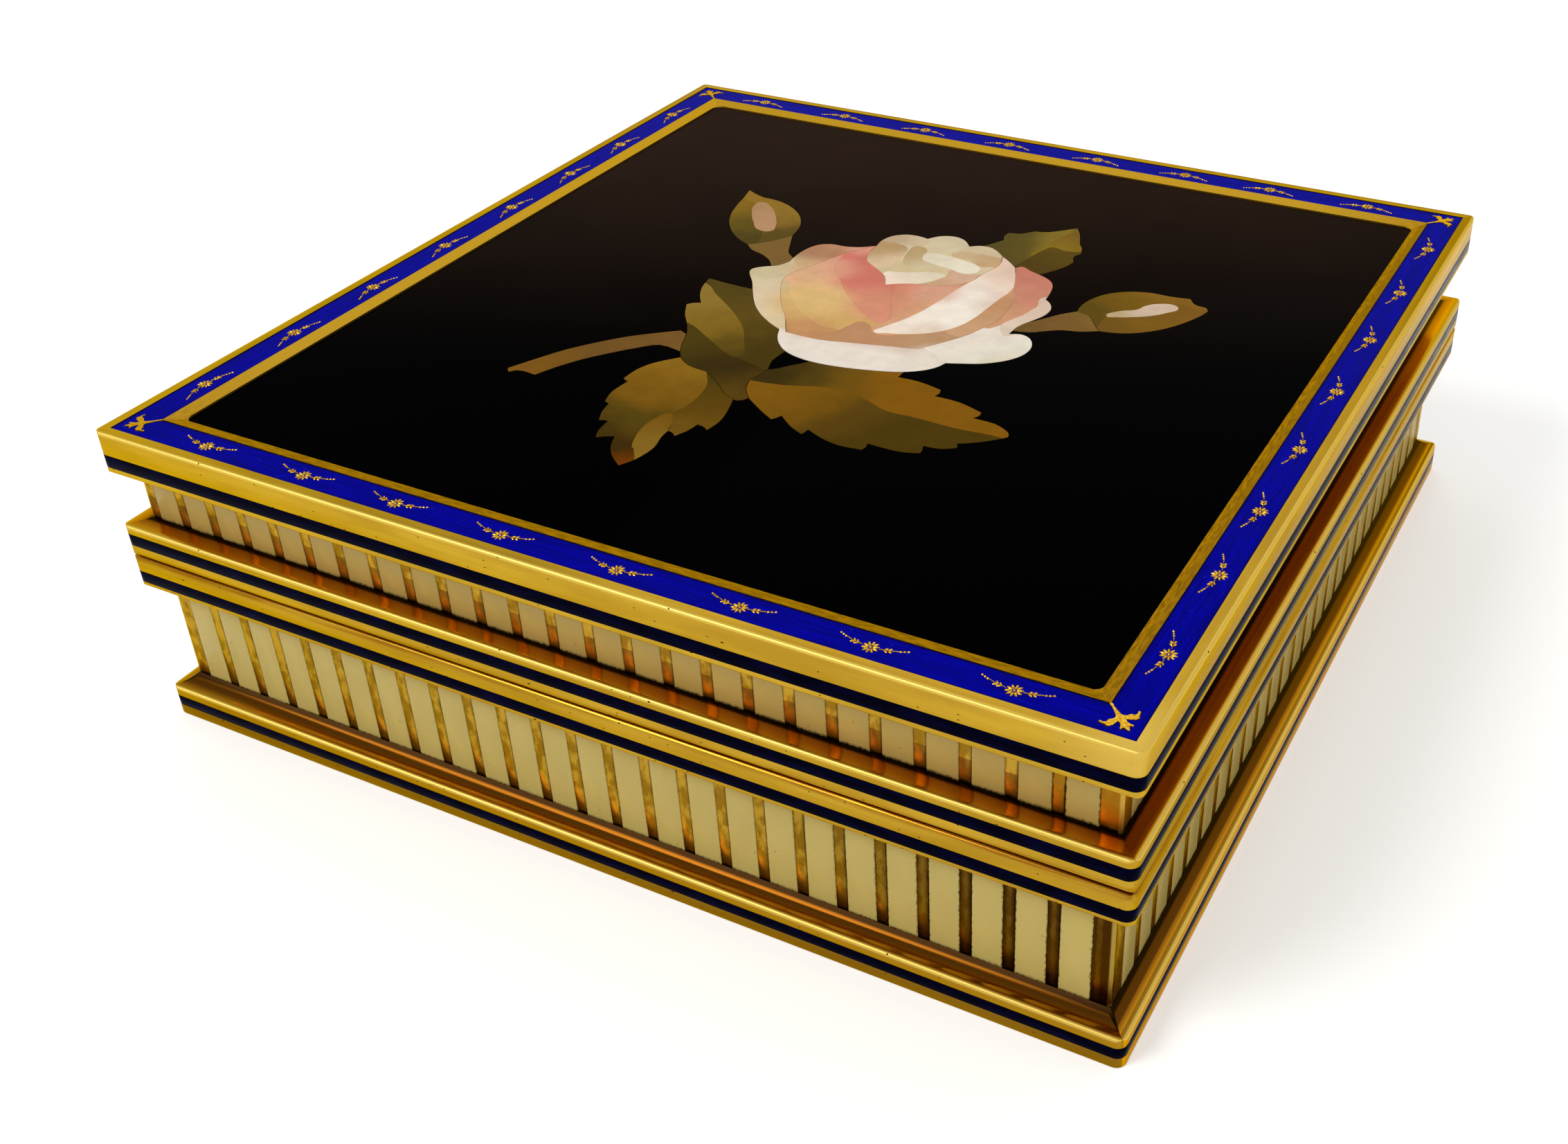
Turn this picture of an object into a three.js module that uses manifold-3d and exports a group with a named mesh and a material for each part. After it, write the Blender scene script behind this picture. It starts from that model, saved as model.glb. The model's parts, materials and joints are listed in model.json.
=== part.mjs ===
// Square table box of gilt metal: striped enamel friezes, enamel lines on its mouldings, and a lid
// with a blue enamel border round a black stone panel inlaid with a rose spray. The lid turns on
// a knuckle hinge along the back. Millimetres, +Z up, origin on the table below the box's middle,
// front face towards -Y.

import * as THREE from 'three';
import { mergeVertices } from 'three/addons/utils/BufferGeometryUtils.js';
import Module from 'manifold-3d';

const wasm = await Module();
wasm.setup();

// Plan of every moulding
const PLAN = 160;
const PLAN_CORNER = 1.5;

// Heights from the table up: each moulding is gold, an enamel line, then gold again
const FOOT_BELOW = 1.7;
const FOOT_LINE = 1.75;
const FOOT_ABOVE = 1.65;
const FOOT_LEDGE_RISE = 1.5;
const FOOT_LEDGE_HOLLOW = 0.35;
const BASE_FRIEZE = 18.0;
const RIM_BELOW = 0.75;
const RIM_LINE = 1.9;
const RIM_ABOVE = 2.45;
const SEAM = 0.4;
const FLANGE_BELOW = 1.8;
const FLANGE_LINE = 1.95;
const FLANGE_ABOVE = 1.35;
const FLANGE_LEDGE_RISE = 0.4;
const FLANGE_LEDGE_HOLLOW = 0.1;
const LID_FRIEZE = 8.9;
const TOP_BELOW = 0.95;
const TOP_LINE = 2.0;
const TOP_ABOVE = 3.75;

// Walls, which stand in a slot of the moulding below and reach up into the one above
const WALL_INSET = 3.2;
const WALL_THICK = 1.6;
const WALL_SEAT = 0.6;
const WALL_TENON = 1.6;
const WALL_ARRIS = 0.4;

// Friezes: enamel stripes between standing bars, with a plain post at each end of a wall
const STRIPE_COUNT = 25;
const BAR_WIDTH = 1.66;
const STRIPE_BED = 0.5;
const COMB_SPINE = 1.2;
const BASE_POST_LEFT = 2.5;
const BASE_POST_RIGHT = 2.8;
const BASE_SIDE_POST = 3.6;
const LID_POST_LEFT = 1.9;
const LID_POST_RIGHT = 2.8;
const LID_SIDE_POST = 2.9;

// Mouldings
const LINE_DEPTH = 0.5;
const LEDGE_ARRIS = 0.3;
const SEAM_ROUND = 0.5;
const UNDER_ROUND = 0.3;
const TOP_ARRIS = 0.35;
const MITRE_GAP = 0.02;
const SOLDER_SEAM = 0.02;

// Bottom plate, let into the foot from below
const PLATE_THICK = 1.2;
const PLATE_SEAT = 1.2;

// Locating lip inside the base, which the lid drops over
const LIP_THICK = 0.8;
const LIP_RISE = 2.5;
const LIP_ROOT = 3.5;
const LIP_PLAY = 0.3;
const LIP_LEAD = 0.3;

// Top frame, from the outer edge in: gold flat, enamel border, sloping bezel over the stone
const TOP_FLAT = 1.74;
const BORDER_WIDTH = 5.0;
const BORDER_DEPTH = 0.4;
const BEZEL_WIDTH = 2.0;
const BEZEL_DROP = 0.54;
const BEZEL_EDGE = 0.3;
const BEZEL_LAP = 1.0;

// Stone panel, its slate backing and the plate that closes the lid below them
const STONE_THICK = 2.2;
const LINER_THICK = 0.8;

// Knuckle hinge, its axis in the plane of the back face, midway in the seam
const HINGE_LENGTH = 112;
const KNUCKLE_COUNT = 9;
const KNUCKLE_GAP = 0.2;
const BARREL_RADIUS = 1.4;
const PIN_RADIUS = 0.55;
const PIN_PLAY = 0.08;
const GULLY_PLAY = 0.15;
const LEAF_THICK = 0.35;
const LEAF_END_PLAY = 0.15;

// Rose spray, laid out for a panel of this side and enlarged or reduced with it. The rose's middle
// is placed from the panel's, and every place in the outlines below is from the rose's middle.
const SPRAY_PANEL = 138.96;
const ROSE_X = 2.7;
const ROSE_Y = 9.9;

// Glue line round each stone
const INLAY_GAP = 0.1;

// Outlines of the inlaid stones. Each row is one smooth edge, such as a petal's scallop or one side
// of a leaf's tooth, and starts where the row before it ends. Where two stones meet, the first one
// in INLAYS is whole and the other runs on under it, to be cut back.
const HEART_LEFT = [-12, 14.6];
const HEART_RIGHT = [8.4, 19.8];
const CRESCENT_TIP = [12.2, 16.6];
const ROSE_HEART = [
  [[-12.2, 16.6], [-11.5, 19], [-9.6, 20.6], [-7.4, 20.9], [-5.6, 20.6]],
  [[-4.2, 22.4], [-2, 23.3], [0.2, 22.7], [2, 20.8]],
  [[3.4, 21.8], [5.2, 22], [6.8, 21.2], HEART_RIGHT],
  [[9.4, 16.4], [8.4, 12.6], [8, 9.4], [6.2, 6.8], [2.6, 4.9], [-0.6, 4.2], [-3.8, 2.3]],
  [[-5.4, 5], [-8, 7], [-10.6, 8.8], [-11.8, 11.6], HEART_LEFT],
];
const INNER_PETALS = [
  [[10.4, 18.3], CRESCENT_TIP],
  [[14, 12.6], [15.2, 9.4], [16.9, 6], [17.4, 2], [17.5, -1.6], [16.4, -5], [14.9, -8.8], [10.8, -15]],
  [[6, -16.2], [1, -17.5], [-4, -18.7], [-9.6, -18.7]],
  [[-12.3, -14.4], [-15, -11], [-17.4, -7.2], [-19.2, -3.6], [-19.3, -0.4], [-17.8, 3]],
  [[-16.4, 7], [-14.6, 10.8], HEART_LEFT],
  [[-2, 12], HEART_RIGHT],
];
const OUTER_PETALS = [
  [[13.2, 17.5], [15, 16.6], [18, 15.4], [19.9, 13.8], [20.8, 11.2], [21.2, 8.2]],
  [[22.4, 7.2], [23.3, 5.4], [23.2, 3], [22.2, 0.6], [21.1, -2], [20.9, -4.9]],
  [[22.6, -4.2], [24.3, -4.8], [25.5, -6.6], [25.8, -8.8], [25.2, -11], [23.6, -13.2], [21.2, -15.1],
    [18.6, -16.3], [16.4, -17.2]],
  [[15.9, -18.8], [14.4, -20.7], [11.8, -22.4], [8.4, -23.6], [4, -24.7], [0, -25.2], [-3.6, -25],
    [-6.6, -24], [-8.8, -22.2], [-10.1, -20.4], [-11, -18.3]],
  [[-13.4, -17.1], [-16.2, -15.2], [-18.8, -12.7], [-21.2, -9.4], [-23.4, -6], [-25.5, -3.4],
    [-25.9, -1.9], [-24.8, -0.5], [-22.8, 1], [-21.9, 3]],
  [[-22.1, 6], [-21.8, 8.6], [-20.9, 10.7], [-19, 11.9], [-16.4, 12.1], [-13.9, 13], HEART_LEFT],
  [[0, 8], CRESCENT_TIP],
];
const BUD_LEFT_FOOT = [-31.6, 5.9];
const BUD_LEFT_SHOULDER = [-26.7, 12.2];
const BUD_LEFT = [
  [[-42.6, 22.4], [-41.9, 19], [-40.9, 15.6], [-39.2, 12.2], [-36.8, 9.3], [-34.2, 7.2], BUD_LEFT_FOOT],
  [[-29, 8.6], BUD_LEFT_SHOULDER],
  [[-27.3, 15.4], [-28.6, 18.2], [-30.6, 20.6], [-33.4, 22.6], [-36.4, 23.7], [-39.4, 23.9]],
  [[-41.4, 24.6], [-43.4, 25.6]],
];
const BUD_RIGHT_FOOT = [32.7, 1.9];
const BUD_RIGHT_SHOULDER = [27.2, 6.5];
const BUD_RIGHT = [
  [[44.8, 13.4], [43.8, 11], [42.4, 8.4], [40.4, 5.8], [37.8, 3.6], [35.2, 2.4], BUD_RIGHT_FOOT],
  [[31.2, 3.8], [29.4, 6], BUD_RIGHT_SHOULDER],
  [[27, 9], [27.7, 11.8], [29.4, 14.5], [32, 16.4], [35, 17.4], [38.2, 17.5], [41.4, 18]],
  [[42.4, 16.7], [43.4, 16.2]],
  [[44.6, 16.1], [45.2, 15.2]],
];
const CALYX_LEFT = [
  [[-22, 4.4], [-23.8, 6], [-25.2, 8.8], BUD_LEFT_SHOULDER],
  [[-29, 10.4], BUD_LEFT_FOOT],
  [[-29.8, 4.4], [-27.4, 3.6], [-25.2, 2.2], [-23.4, 0.3], [-20, -1]],
  [[-20, 1]],
];
const CALYX_RIGHT = [
  [[21.6, -0.4], [23.4, 1.8], [25.2, 4.4], BUD_RIGHT_SHOULDER],
  [[29.8, 7.4], BUD_RIGHT_FOOT],
  [[30.2, 0.5], [27.6, -0.2], [25.4, -1.6], [23.4, -3], [20, -3.8]],
  [[19, -2]],
];
const LEAF_FORK = [-4, -38.5];
const LEAF_LEFT = [
  [[-29.6, -11], [-28.2, -13.8], [-26.6, -15.9]],
  [[-27.6, -16.4], [-28.4, -17.3]],
  [[-26.7, -20.3], [-24.7, -22.8], [-22.9, -25.6], [-21.4, -29.2], [-19.6, -32.2], [-17, -34],
    [-13.7, -34.5]],
  [[-10.4, -36.6], [-7.6, -39], [-5.2, -39.9]],
  [[-4.4, -39.4], LEAF_FORK],
  [[-5.8, -36.4], [-6.7, -33.9]],
  [[-6.1, -31.8], [-6, -29.9]],
  [[-6.8, -27.4], [-6.6, -24.3]],
  [[-8, -18], [-16, -8]],
  [[-24, -8.3], [-30.3, -7.9]],
];
const LEAF_LOWER_LEFT = [
  [[-12.4, -59.8], [-13.9, -57.8], [-14.8, -55.6]],
  [[-16, -56.2], [-17, -57]],
  [[-17.8, -55.2], [-18.1, -52.5]],
  [[-18.7, -52.6], [-19.4, -52.9]],
  [[-20.4, -50.8], [-20.9, -48.4]],
  [[-21.4, -48.3], [-21.8, -48.1]],
  [[-22.5, -45.4], [-22.2, -41.9]],
  [[-22.8, -41.7], [-23.3, -41.4]],
  [[-23.1, -38.4], [-22, -35.6], [-19.4, -32.4]],
  [[-16, -31], [-8, -36]],
  [[-5.8, -39.7]],
  [[-4.7, -43], [-4.1, -46], [-4.4, -48.7]],
  [[-5.4, -48.1], [-6.4, -48]],
  [[-6.7, -50], [-7.5, -51.9]],
  [[-8.4, -51.3], [-9.1, -51.2]],
  [[-9, -53], [-8.3, -56], [-8.8, -59.4], [-9.9, -61.7]],
];

// The outline takes in the small dark wedge between this leaf, its neighbour and the rose
const LEAF_LOWER_RIGHT = [
  [[31.8, -34.4], [29.8, -36], [28, -37.1]],
  [[28.5, -37.8], [28.3, -38.3]],
  [[26.6, -39.3], [24.2, -39.6]],
  [[24.6, -40.6], [24.7, -41.5]],
  [[22.2, -42.3], [19.6, -42.4], [17.1, -42.3]],
  [[17.4, -43.2], [17.2, -44.1]],
  [[14, -44.4], [11, -43.8], [8, -42.5]],
  [[8, -43.3], [7.8, -44]],
  [[5.4, -42.8], [2.8, -40.8]],
  [[2.5, -41.6], [2, -42.3]],
  [[-0.6, -40.8], LEAF_FORK],
  [[-7, -37], [-8, -33]],
  [[-9, -28], [-6, -22]],
  [[4, -20], [12.2, -22.2]],
  [[12.2, -24]],
  [[15.6, -23.9], [19.4, -24.7]],
  [[19.7, -25.7], [19.4, -26.7]],
  [[23.4, -26.8], [27.4, -28.1]],
  [[27.5, -29], [27, -30]],
  [[30.4, -30.1], [33, -31.4], [33.5, -32.6]],
];
const LEAF_TOP = [
  [[16.6, 32.9], [18, 29.5]],
  [[19, 28], [19.6, 26]],
  [[19, 24.6], [19.8, 22.6]],
  [[19, 19.8], [17, 16.4]],
  [[12, 14], [6, 18], [2, 19]],
  [[4.6, 23], [6, 25.6]],
  [[5.4, 27.2], [5.6, 28.6]],
  [[7.6, 29.2], [9.2, 31]],
  [[11.6, 31.8], [15.2, 35.2]],
];
const STEM = [
  [[-27, -27.4], [-30.4, -30.4], [-33.4, -33.9], [-36.2, -37.8], [-38.4, -42], [-40.4, -46.2]],
  [[-40, -46.7], [-39.5, -47]],
  [[-38.9, -46.2], [-37.6, -45.9], [-35.6, -46.1]],
  [[-34.2, -42.8], [-32.2, -39.2], [-29.6, -35.7], [-27, -32.7], [-24.4, -30.4], [-20.4, -30.9]],
  [[-19, -28], [-24.2, -25.2]],
];

// Levels
const footTop = FOOT_BELOW + FOOT_LINE + FOOT_ABOVE;
const baseLedge = footTop + FOOT_LEDGE_RISE;
const rimBottom = baseLedge + BASE_FRIEZE;
const rimTop = rimBottom + RIM_BELOW + RIM_LINE + RIM_ABOVE;
const seamMiddle = rimTop + SEAM / 2;
const flangeBottom = rimTop + SEAM;
const flangeTop = flangeBottom + FLANGE_BELOW + FLANGE_LINE + FLANGE_ABOVE;
const lidLedge = flangeTop + FLANGE_LEDGE_RISE;
const topBottom = lidLedge + LID_FRIEZE;
const height = topBottom + TOP_BELOW + TOP_LINE + TOP_ABOVE;

// Insets from the outer plan
const half = PLAN / 2;
const wallInner = WALL_INSET + WALL_THICK;
const slotOuter = WALL_INSET - SOLDER_SEAM;
const lipOuter = wallInner + SOLDER_SEAM;
const flangeInner = lipOuter - LIP_PLAY;
const borderInner = TOP_FLAT + BORDER_WIDTH;
const bezelInner = borderInner + BEZEL_WIDTH;
const panelInset = bezelInner - BEZEL_LAP;

const ROUND_STEPS = 3;
const LEDGE_STEPS = 4;
const BARREL_STEPS = 16;
const PIN_STEPS = 12;
const CHANNEL_STEPS = 6;
const EDGE_STEPS = 3;
const OVERCUT = 1;

const GILT = { color: 0xd3a53c, roughness: 0.28, metalness: 1 };
const BRIGHT_GILT = { color: 0xdfb350, roughness: 0.2, metalness: 1 };
const NAVY_ENAMEL = { color: 0x0a0a24, roughness: 0.1, metalness: 0 };
const COBALT_ENAMEL = { color: 0x08108c, roughness: 0.12, metalness: 0 };
const CREAM_ENAMEL = { color: 0xe6ddb8, roughness: 0.3, metalness: 0 };
const BLACK_STONE = { color: 0x0c0a09, roughness: 0.12, metalness: 0 };
const SLATE = { color: 0x3a3c40, roughness: 0.8, metalness: 0 };
const WHITE_STONE = { color: 0xece2cf, roughness: 0.25, metalness: 0 };
const PINK_STONE = { color: 0xd98f78, roughness: 0.25, metalness: 0 };
const PALE_STONE = { color: 0xd9cfa6, roughness: 0.25, metalness: 0 };
const OLIVE_STONE = { color: 0x6d6420, roughness: 0.25, metalness: 0 };
const OCHRE_STONE = { color: 0x8f6a16, roughness: 0.25, metalness: 0 };
const TAN_STONE = { color: 0x86632f, roughness: 0.25, metalness: 0 };

// A closed geometry as a solid that can be joined and cut
function toSolid(geometry) {
  const bare = geometry.clone();
  bare.deleteAttribute('normal');
  bare.deleteAttribute('uv');
  const merged = mergeVertices(bare, 1e-5);
  const mesh = new wasm.Mesh({
    numProp: 3,
    vertProperties: new Float32Array(merged.attributes.position.array),
    triVerts: new Uint32Array(merged.index.array),
  });
  return new wasm.Manifold(mesh);
}

function toGeometry(solid) {
  const mesh = solid.getMesh();
  const geometry = new THREE.BufferGeometry();
  const positions = new THREE.BufferAttribute(new Float32Array(mesh.vertProperties), 3);
  geometry.setAttribute('position', positions);
  geometry.setIndex(new THREE.BufferAttribute(new Uint32Array(mesh.triVerts), 1));
  geometry.computeVertexNormals();
  return geometry;
}

function joined(solids) {
  return solids.reduce((sum, solid) => sum.add(solid));
}

// Points of a circular arc, angles in degrees
function arc(x, y, radius, from, to, steps = ROUND_STEPS) {
  return Array.from({ length: steps + 1 }, (_, i) => {
    const angle = THREE.MathUtils.degToRad(from + ((to - from) * i) / steps);
    return [x + radius * Math.cos(angle), y + radius * Math.sin(angle)];
  });
}

function toShape(points) {
  return new THREE.Shape(points.map(([x, y]) => new THREE.Vector2(x, y)));
}

// An outline in plan, raised from one level to another
function prism(shape, from, to) {
  const options = { depth: to - from, bevelEnabled: false };
  return new THREE.ExtrudeGeometry(shape, options).translate(0, 0, from);
}

// An outline in (y, z), run from one x to another
function longPrism(points, from, to) {
  const options = { depth: to - from, bevelEnabled: false };
  const geometry = new THREE.ExtrudeGeometry(toShape(points), options);
  return geometry.rotateX(Math.PI / 2).rotateZ(Math.PI / 2).translate(from, 0, 0);
}

// Square with its sides inset from the outer plan, its corners rounded or sharp
function squarePoints(inset, corner) {
  const reach = half - inset;
  if (corner <= 0) {
    return [[reach, reach], [-reach, reach], [-reach, -reach], [reach, -reach]];
  }
  const centre = reach - corner;
  return [
    ...arc(centre, centre, corner, 0, 90, 2 * ROUND_STEPS),
    ...arc(-centre, centre, corner, 90, 180, 2 * ROUND_STEPS),
    ...arc(-centre, -centre, corner, 180, 270, 2 * ROUND_STEPS),
    ...arc(centre, -centre, corner, 270, 360, 2 * ROUND_STEPS),
  ];
}

function squareSlab(inset, from, to) {
  return prism(toShape(squarePoints(inset, 0)), from, to);
}

// Square ring between two insets, following the rounded corners of the plan
function squareRing(outer, inner, from, to) {
  const shape = toShape(squarePoints(outer, PLAN_CORNER - outer));
  shape.holes.push(toShape(squarePoints(inner, PLAN_CORNER - inner)));
  return prism(shape, from, to);
}

// Straight rail along the front. Its section is in (inset, height), and both ends are mitred.
function mitredRail(section) {
  const outline = section.map(([inset, z]) => new THREE.Vector2(inset, z));
  if (THREE.ShapeUtils.isClockWise(outline)) {
    outline.reverse();
  }
  const positions = [];
  for (const end of [-1, 1]) {
    for (const point of outline) {
      const reach = half - point.x;
      positions.push(end * (reach - MITRE_GAP / 2), -reach, point.y);
    }
  }
  const count = outline.length;
  const faces = [];
  for (const [a, b, c] of THREE.ShapeUtils.triangulateShape(outline, [])) {
    faces.push(a, c, b, a + count, b + count, c + count);
  }
  for (let i = 0; i < count; i += 1) {
    const next = (i + 1) % count;
    faces.push(i, next, next + count, i, next + count, i + count);
  }
  const geometry = new THREE.BufferGeometry();
  geometry.setAttribute('position', new THREE.Float32BufferAttribute(positions, 3));
  geometry.setIndex(faces);
  return geometry;
}

// Ledge from the wall's foot out to the moulding's outer arris, slightly hollow
function ledge(outerLevel, rise, hollow) {
  const points = [];
  for (let i = 0; i < LEDGE_STEPS; i += 1) {
    const out = i / LEDGE_STEPS;
    const inset = slotOuter + (LEDGE_ARRIS - slotOuter) * out;
    points.push([inset, outerLevel + rise * (1 - out) - 4 * hollow * out * (1 - out)]);
  }
  return [...points, ...arc(LEDGE_ARRIS, outerLevel - LEDGE_ARRIS, LEDGE_ARRIS, 90, 180)];
}

// Sections of the four mouldings, each counter-clockwise from its lower outer edge
const footSection = [
  [0, 0],
  [wallInner - PLATE_SEAT, 0],
  [wallInner - PLATE_SEAT, PLATE_THICK + SOLDER_SEAM],
  [wallInner, PLATE_THICK + SOLDER_SEAM],
  [wallInner, baseLedge - WALL_SEAT - SOLDER_SEAM],
  [slotOuter, baseLedge - WALL_SEAT - SOLDER_SEAM],
  ...ledge(footTop, FOOT_LEDGE_RISE, FOOT_LEDGE_HOLLOW),
];
const rimSection = [
  ...arc(UNDER_ROUND, rimBottom + UNDER_ROUND, UNDER_ROUND, 180, 270),
  [slotOuter, rimBottom],
  [slotOuter, rimBottom + WALL_TENON + SOLDER_SEAM],
  [wallInner, rimBottom + WALL_TENON + SOLDER_SEAM],
  [wallInner, rimTop],
  ...arc(SEAM_ROUND, rimTop - SEAM_ROUND, SEAM_ROUND, 90, 180),
];
const flangeSection = [
  ...arc(SEAM_ROUND, flangeBottom + SEAM_ROUND, SEAM_ROUND, 180, 270),
  [flangeInner, flangeBottom],
  [flangeInner, lidLedge - WALL_SEAT - SOLDER_SEAM],
  [slotOuter, lidLedge - WALL_SEAT - SOLDER_SEAM],
  ...ledge(flangeTop, FLANGE_LEDGE_RISE, FLANGE_LEDGE_HOLLOW),
];
const bezelUnder = height - BEZEL_DROP - BEZEL_EDGE;
const topSection = [
  ...arc(UNDER_ROUND, topBottom + UNDER_ROUND, UNDER_ROUND, 180, 270),
  [slotOuter, topBottom],
  [slotOuter, topBottom + WALL_TENON + SOLDER_SEAM],
  [wallInner + SOLDER_SEAM, topBottom + WALL_TENON + SOLDER_SEAM],
  [wallInner + SOLDER_SEAM, topBottom],
  [panelInset, topBottom],
  [panelInset, bezelUnder],
  [bezelInner, bezelUnder],
  [bezelInner, height - BEZEL_DROP],
  [borderInner, height],
  [borderInner, height - BORDER_DEPTH],
  [TOP_FLAT, height - BORDER_DEPTH],
  [TOP_FLAT, height],
  ...arc(TOP_ARRIS, height - TOP_ARRIS, TOP_ARRIS, 90, 180),
];

// One moulding's rail with rounded plan corners and the groove for its enamel line
const roundedPlan = prism(toShape(squarePoints(0, PLAN_CORNER)), -OVERCUT, height + OVERCUT);

function grooved(section, lineBottom, lineHeight) {
  const bottom = lineBottom - SOLDER_SEAM;
  const top = lineBottom + lineHeight + SOLDER_SEAM;
  const groove = squareRing(-OVERCUT, LINE_DEPTH + SOLDER_SEAM, bottom, top);
  const rail = toSolid(mitredRail(section));
  return rail.intersect(toSolid(roundedPlan)).subtract(toSolid(groove));
}

function enamelLine(lineBottom, lineHeight) {
  return squareRing(0, LINE_DEPTH, lineBottom, lineBottom + lineHeight);
}

// Stripe places along one wall, between its left and right posts
function stripePlaces(leftPost, rightPost) {
  const from = -(half - WALL_INSET) + leftPost;
  const to = half - WALL_INSET - rightPost;
  const width = (to - from - (STRIPE_COUNT - 1) * BAR_WIDTH) / STRIPE_COUNT;
  return Array.from({ length: STRIPE_COUNT }, (_, i) => {
    const left = from + i * (width + BAR_WIDTH);
    return [left, left + width];
  });
}

// Wall plate with mitred ends, its stripe beds cut in and the bars left standing. The beds run
// together at the top, behind the moulding, where the enamel's spine lies.
function wallPlate(stripes, ledgeLevel, friezeHeight) {
  const face = -(half - WALL_INSET);
  const bed = face + STRIPE_BED;
  const back = face + WALL_THICK;
  const outerEnd = -face - WALL_ARRIS - MITRE_GAP / 2;
  const innerEnd = -back - MITRE_GAP / 2;
  const arrisY = face + WALL_ARRIS;
  const plan = [
    ...arc(-outerEnd, arrisY, WALL_ARRIS, 225, 270),
    ...stripes.flatMap(([left, right]) => [[left, face], [left, bed], [right, bed], [right, face]]),
    ...arc(outerEnd, arrisY, WALL_ARRIS, 270, 315),
    [innerEnd, back],
    [-innerEnd, back],
  ];
  const bottom = ledgeLevel - WALL_SEAT;
  const top = ledgeLevel + friezeHeight + WALL_TENON;
  const plate = toSolid(prism(toShape(plan), bottom, top));
  const left = stripes[0][0];
  const right = stripes.at(-1)[1];
  const spineBed = [[left, face - OVERCUT], [right, face - OVERCUT], [right, bed], [left, bed]];
  const spineBottom = top - COMB_SPINE - SOLDER_SEAM;
  return plate.subtract(toSolid(prism(toShape(spineBed), spineBottom, top + OVERCUT)));
}

// The enamel of one wall: stripes joined by a spine that the moulding above hides
function stripeComb(stripes, ledgeLevel, friezeHeight) {
  const bottom = ledgeLevel - WALL_SEAT;
  const top = ledgeLevel + friezeHeight + WALL_TENON;
  const last = stripes.length - 1;
  const elevation = stripes.flatMap(([left, right], i) => [
    [left + SOLDER_SEAM, i === 0 ? top : top - COMB_SPINE],
    [left + SOLDER_SEAM, bottom],
    [right - SOLDER_SEAM, bottom],
    [right - SOLDER_SEAM, i === last ? top : top - COMB_SPINE],
  ]);
  const options = { depth: STRIPE_BED - SOLDER_SEAM, bevelEnabled: false };
  const geometry = new THREE.ExtrudeGeometry(toShape(elevation), options).rotateX(Math.PI / 2);
  return geometry.translate(0, -(half - WALL_INSET) + STRIPE_BED - SOLDER_SEAM, 0);
}

// Strip of the locating lip along the front, its outer top edge eased for the lid
function lipStrip() {
  const top = rimTop + LIP_RISE;
  const bottom = rimTop - LIP_ROOT;
  return mitredRail([
    [lipOuter, bottom],
    [lipOuter + LIP_THICK, bottom],
    [lipOuter + LIP_THICK, top],
    [lipOuter + LIP_LEAD, top],
    [lipOuter, top - LIP_LEAD],
  ]);
}

// Hinge leaf: a quarter channel soldered in the gully, with every second knuckle standing in it.
// Side -1 is the base's leaf, below the seam, and side 1 the lid's, above it.
const gullyRadius = BARREL_RADIUS + GULLY_PLAY;
const leafRadius = gullyRadius + LEAF_THICK;
const knuckleLength = (HINGE_LENGTH - (KNUCKLE_COUNT - 1) * KNUCKLE_GAP) / KNUCKLE_COUNT;

function hingeLeaf(side, firstKnuckle) {
  const edge = (radius) => THREE.MathUtils.radToDeg(Math.asin(SEAM / 2 / radius));
  const quarter = (radius) =>
    arc(0, 0, radius, 180 - side * edge(radius), 180 - side * 90, CHANNEL_STEPS);
  const placed = (points) => points.map(([y, z]) => [y + half, z + seamMiddle]);
  const channel = [...quarter(leafRadius), ...quarter(gullyRadius).reverse()];
  const start = -HINGE_LENGTH / 2;
  const parts = [toSolid(longPrism(placed(channel), start, -start))];
  const bridge = (gullyRadius + leafRadius) / 2;
  const coreRadius = BARREL_RADIUS / 2;
  const web = [...quarter(bridge), ...quarter(coreRadius).reverse()];
  for (let i = firstKnuckle; i < KNUCKLE_COUNT; i += 2) {
    const from = start + i * (knuckleLength + KNUCKLE_GAP);
    const barrel = arc(0, 0, BARREL_RADIUS, 0, 360, BARREL_STEPS).slice(0, -1);
    parts.push(toSolid(longPrism(placed(barrel), from, from + knuckleLength)));
    parts.push(toSolid(longPrism(placed(web), from, from + knuckleLength)));
  }
  const boreRadius = (PIN_RADIUS + PIN_PLAY) / Math.cos(Math.PI / PIN_STEPS);
  const bore = arc(0, 0, boreRadius, 0, 360, PIN_STEPS).slice(0, -1);
  const boreCut = toSolid(longPrism(placed(bore), start - OVERCUT, OVERCUT - start));
  return joined(parts).subtract(boreCut);
}

function hingePin() {
  const circle = arc(0, 0, PIN_RADIUS, 0, 360, PIN_STEPS).slice(0, -1);
  const placed = circle.map(([y, z]) => [y + half, z + seamMiddle]);
  return longPrism(placed, -HINGE_LENGTH / 2, HINGE_LENGTH / 2);
}

// The gully is cut in the front rail's place, because the back rail is the front one turned round
function gullyCut() {
  const reach = HINGE_LENGTH / 2 + LEAF_END_PLAY;
  const circle = arc(-half, seamMiddle, leafRadius + SOLDER_SEAM, 0, 360, 2 * BARREL_STEPS);
  return toSolid(longPrism(circle.slice(0, -1), -reach, reach));
}

// Outline moved outwards by a gap, each corner along the mean of its two sides' normals
function grown(points, gap) {
  return points.map((point, i) => {
    const before = points[(i + points.length - 1) % points.length];
    const after = points[(i + 1) % points.length];
    const first = new THREE.Vector2(point[1] - before[1], before[0] - point[0]).normalize();
    const second = new THREE.Vector2(after[1] - point[1], point[0] - after[0]).normalize();
    const mean = first.add(second);
    const stretch = Math.min((2 * gap) / Math.max(mean.lengthSq(), 1), 2 * gap);
    return [point[0] + mean.x * stretch, point[1] + mean.y * stretch];
  });
}

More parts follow.
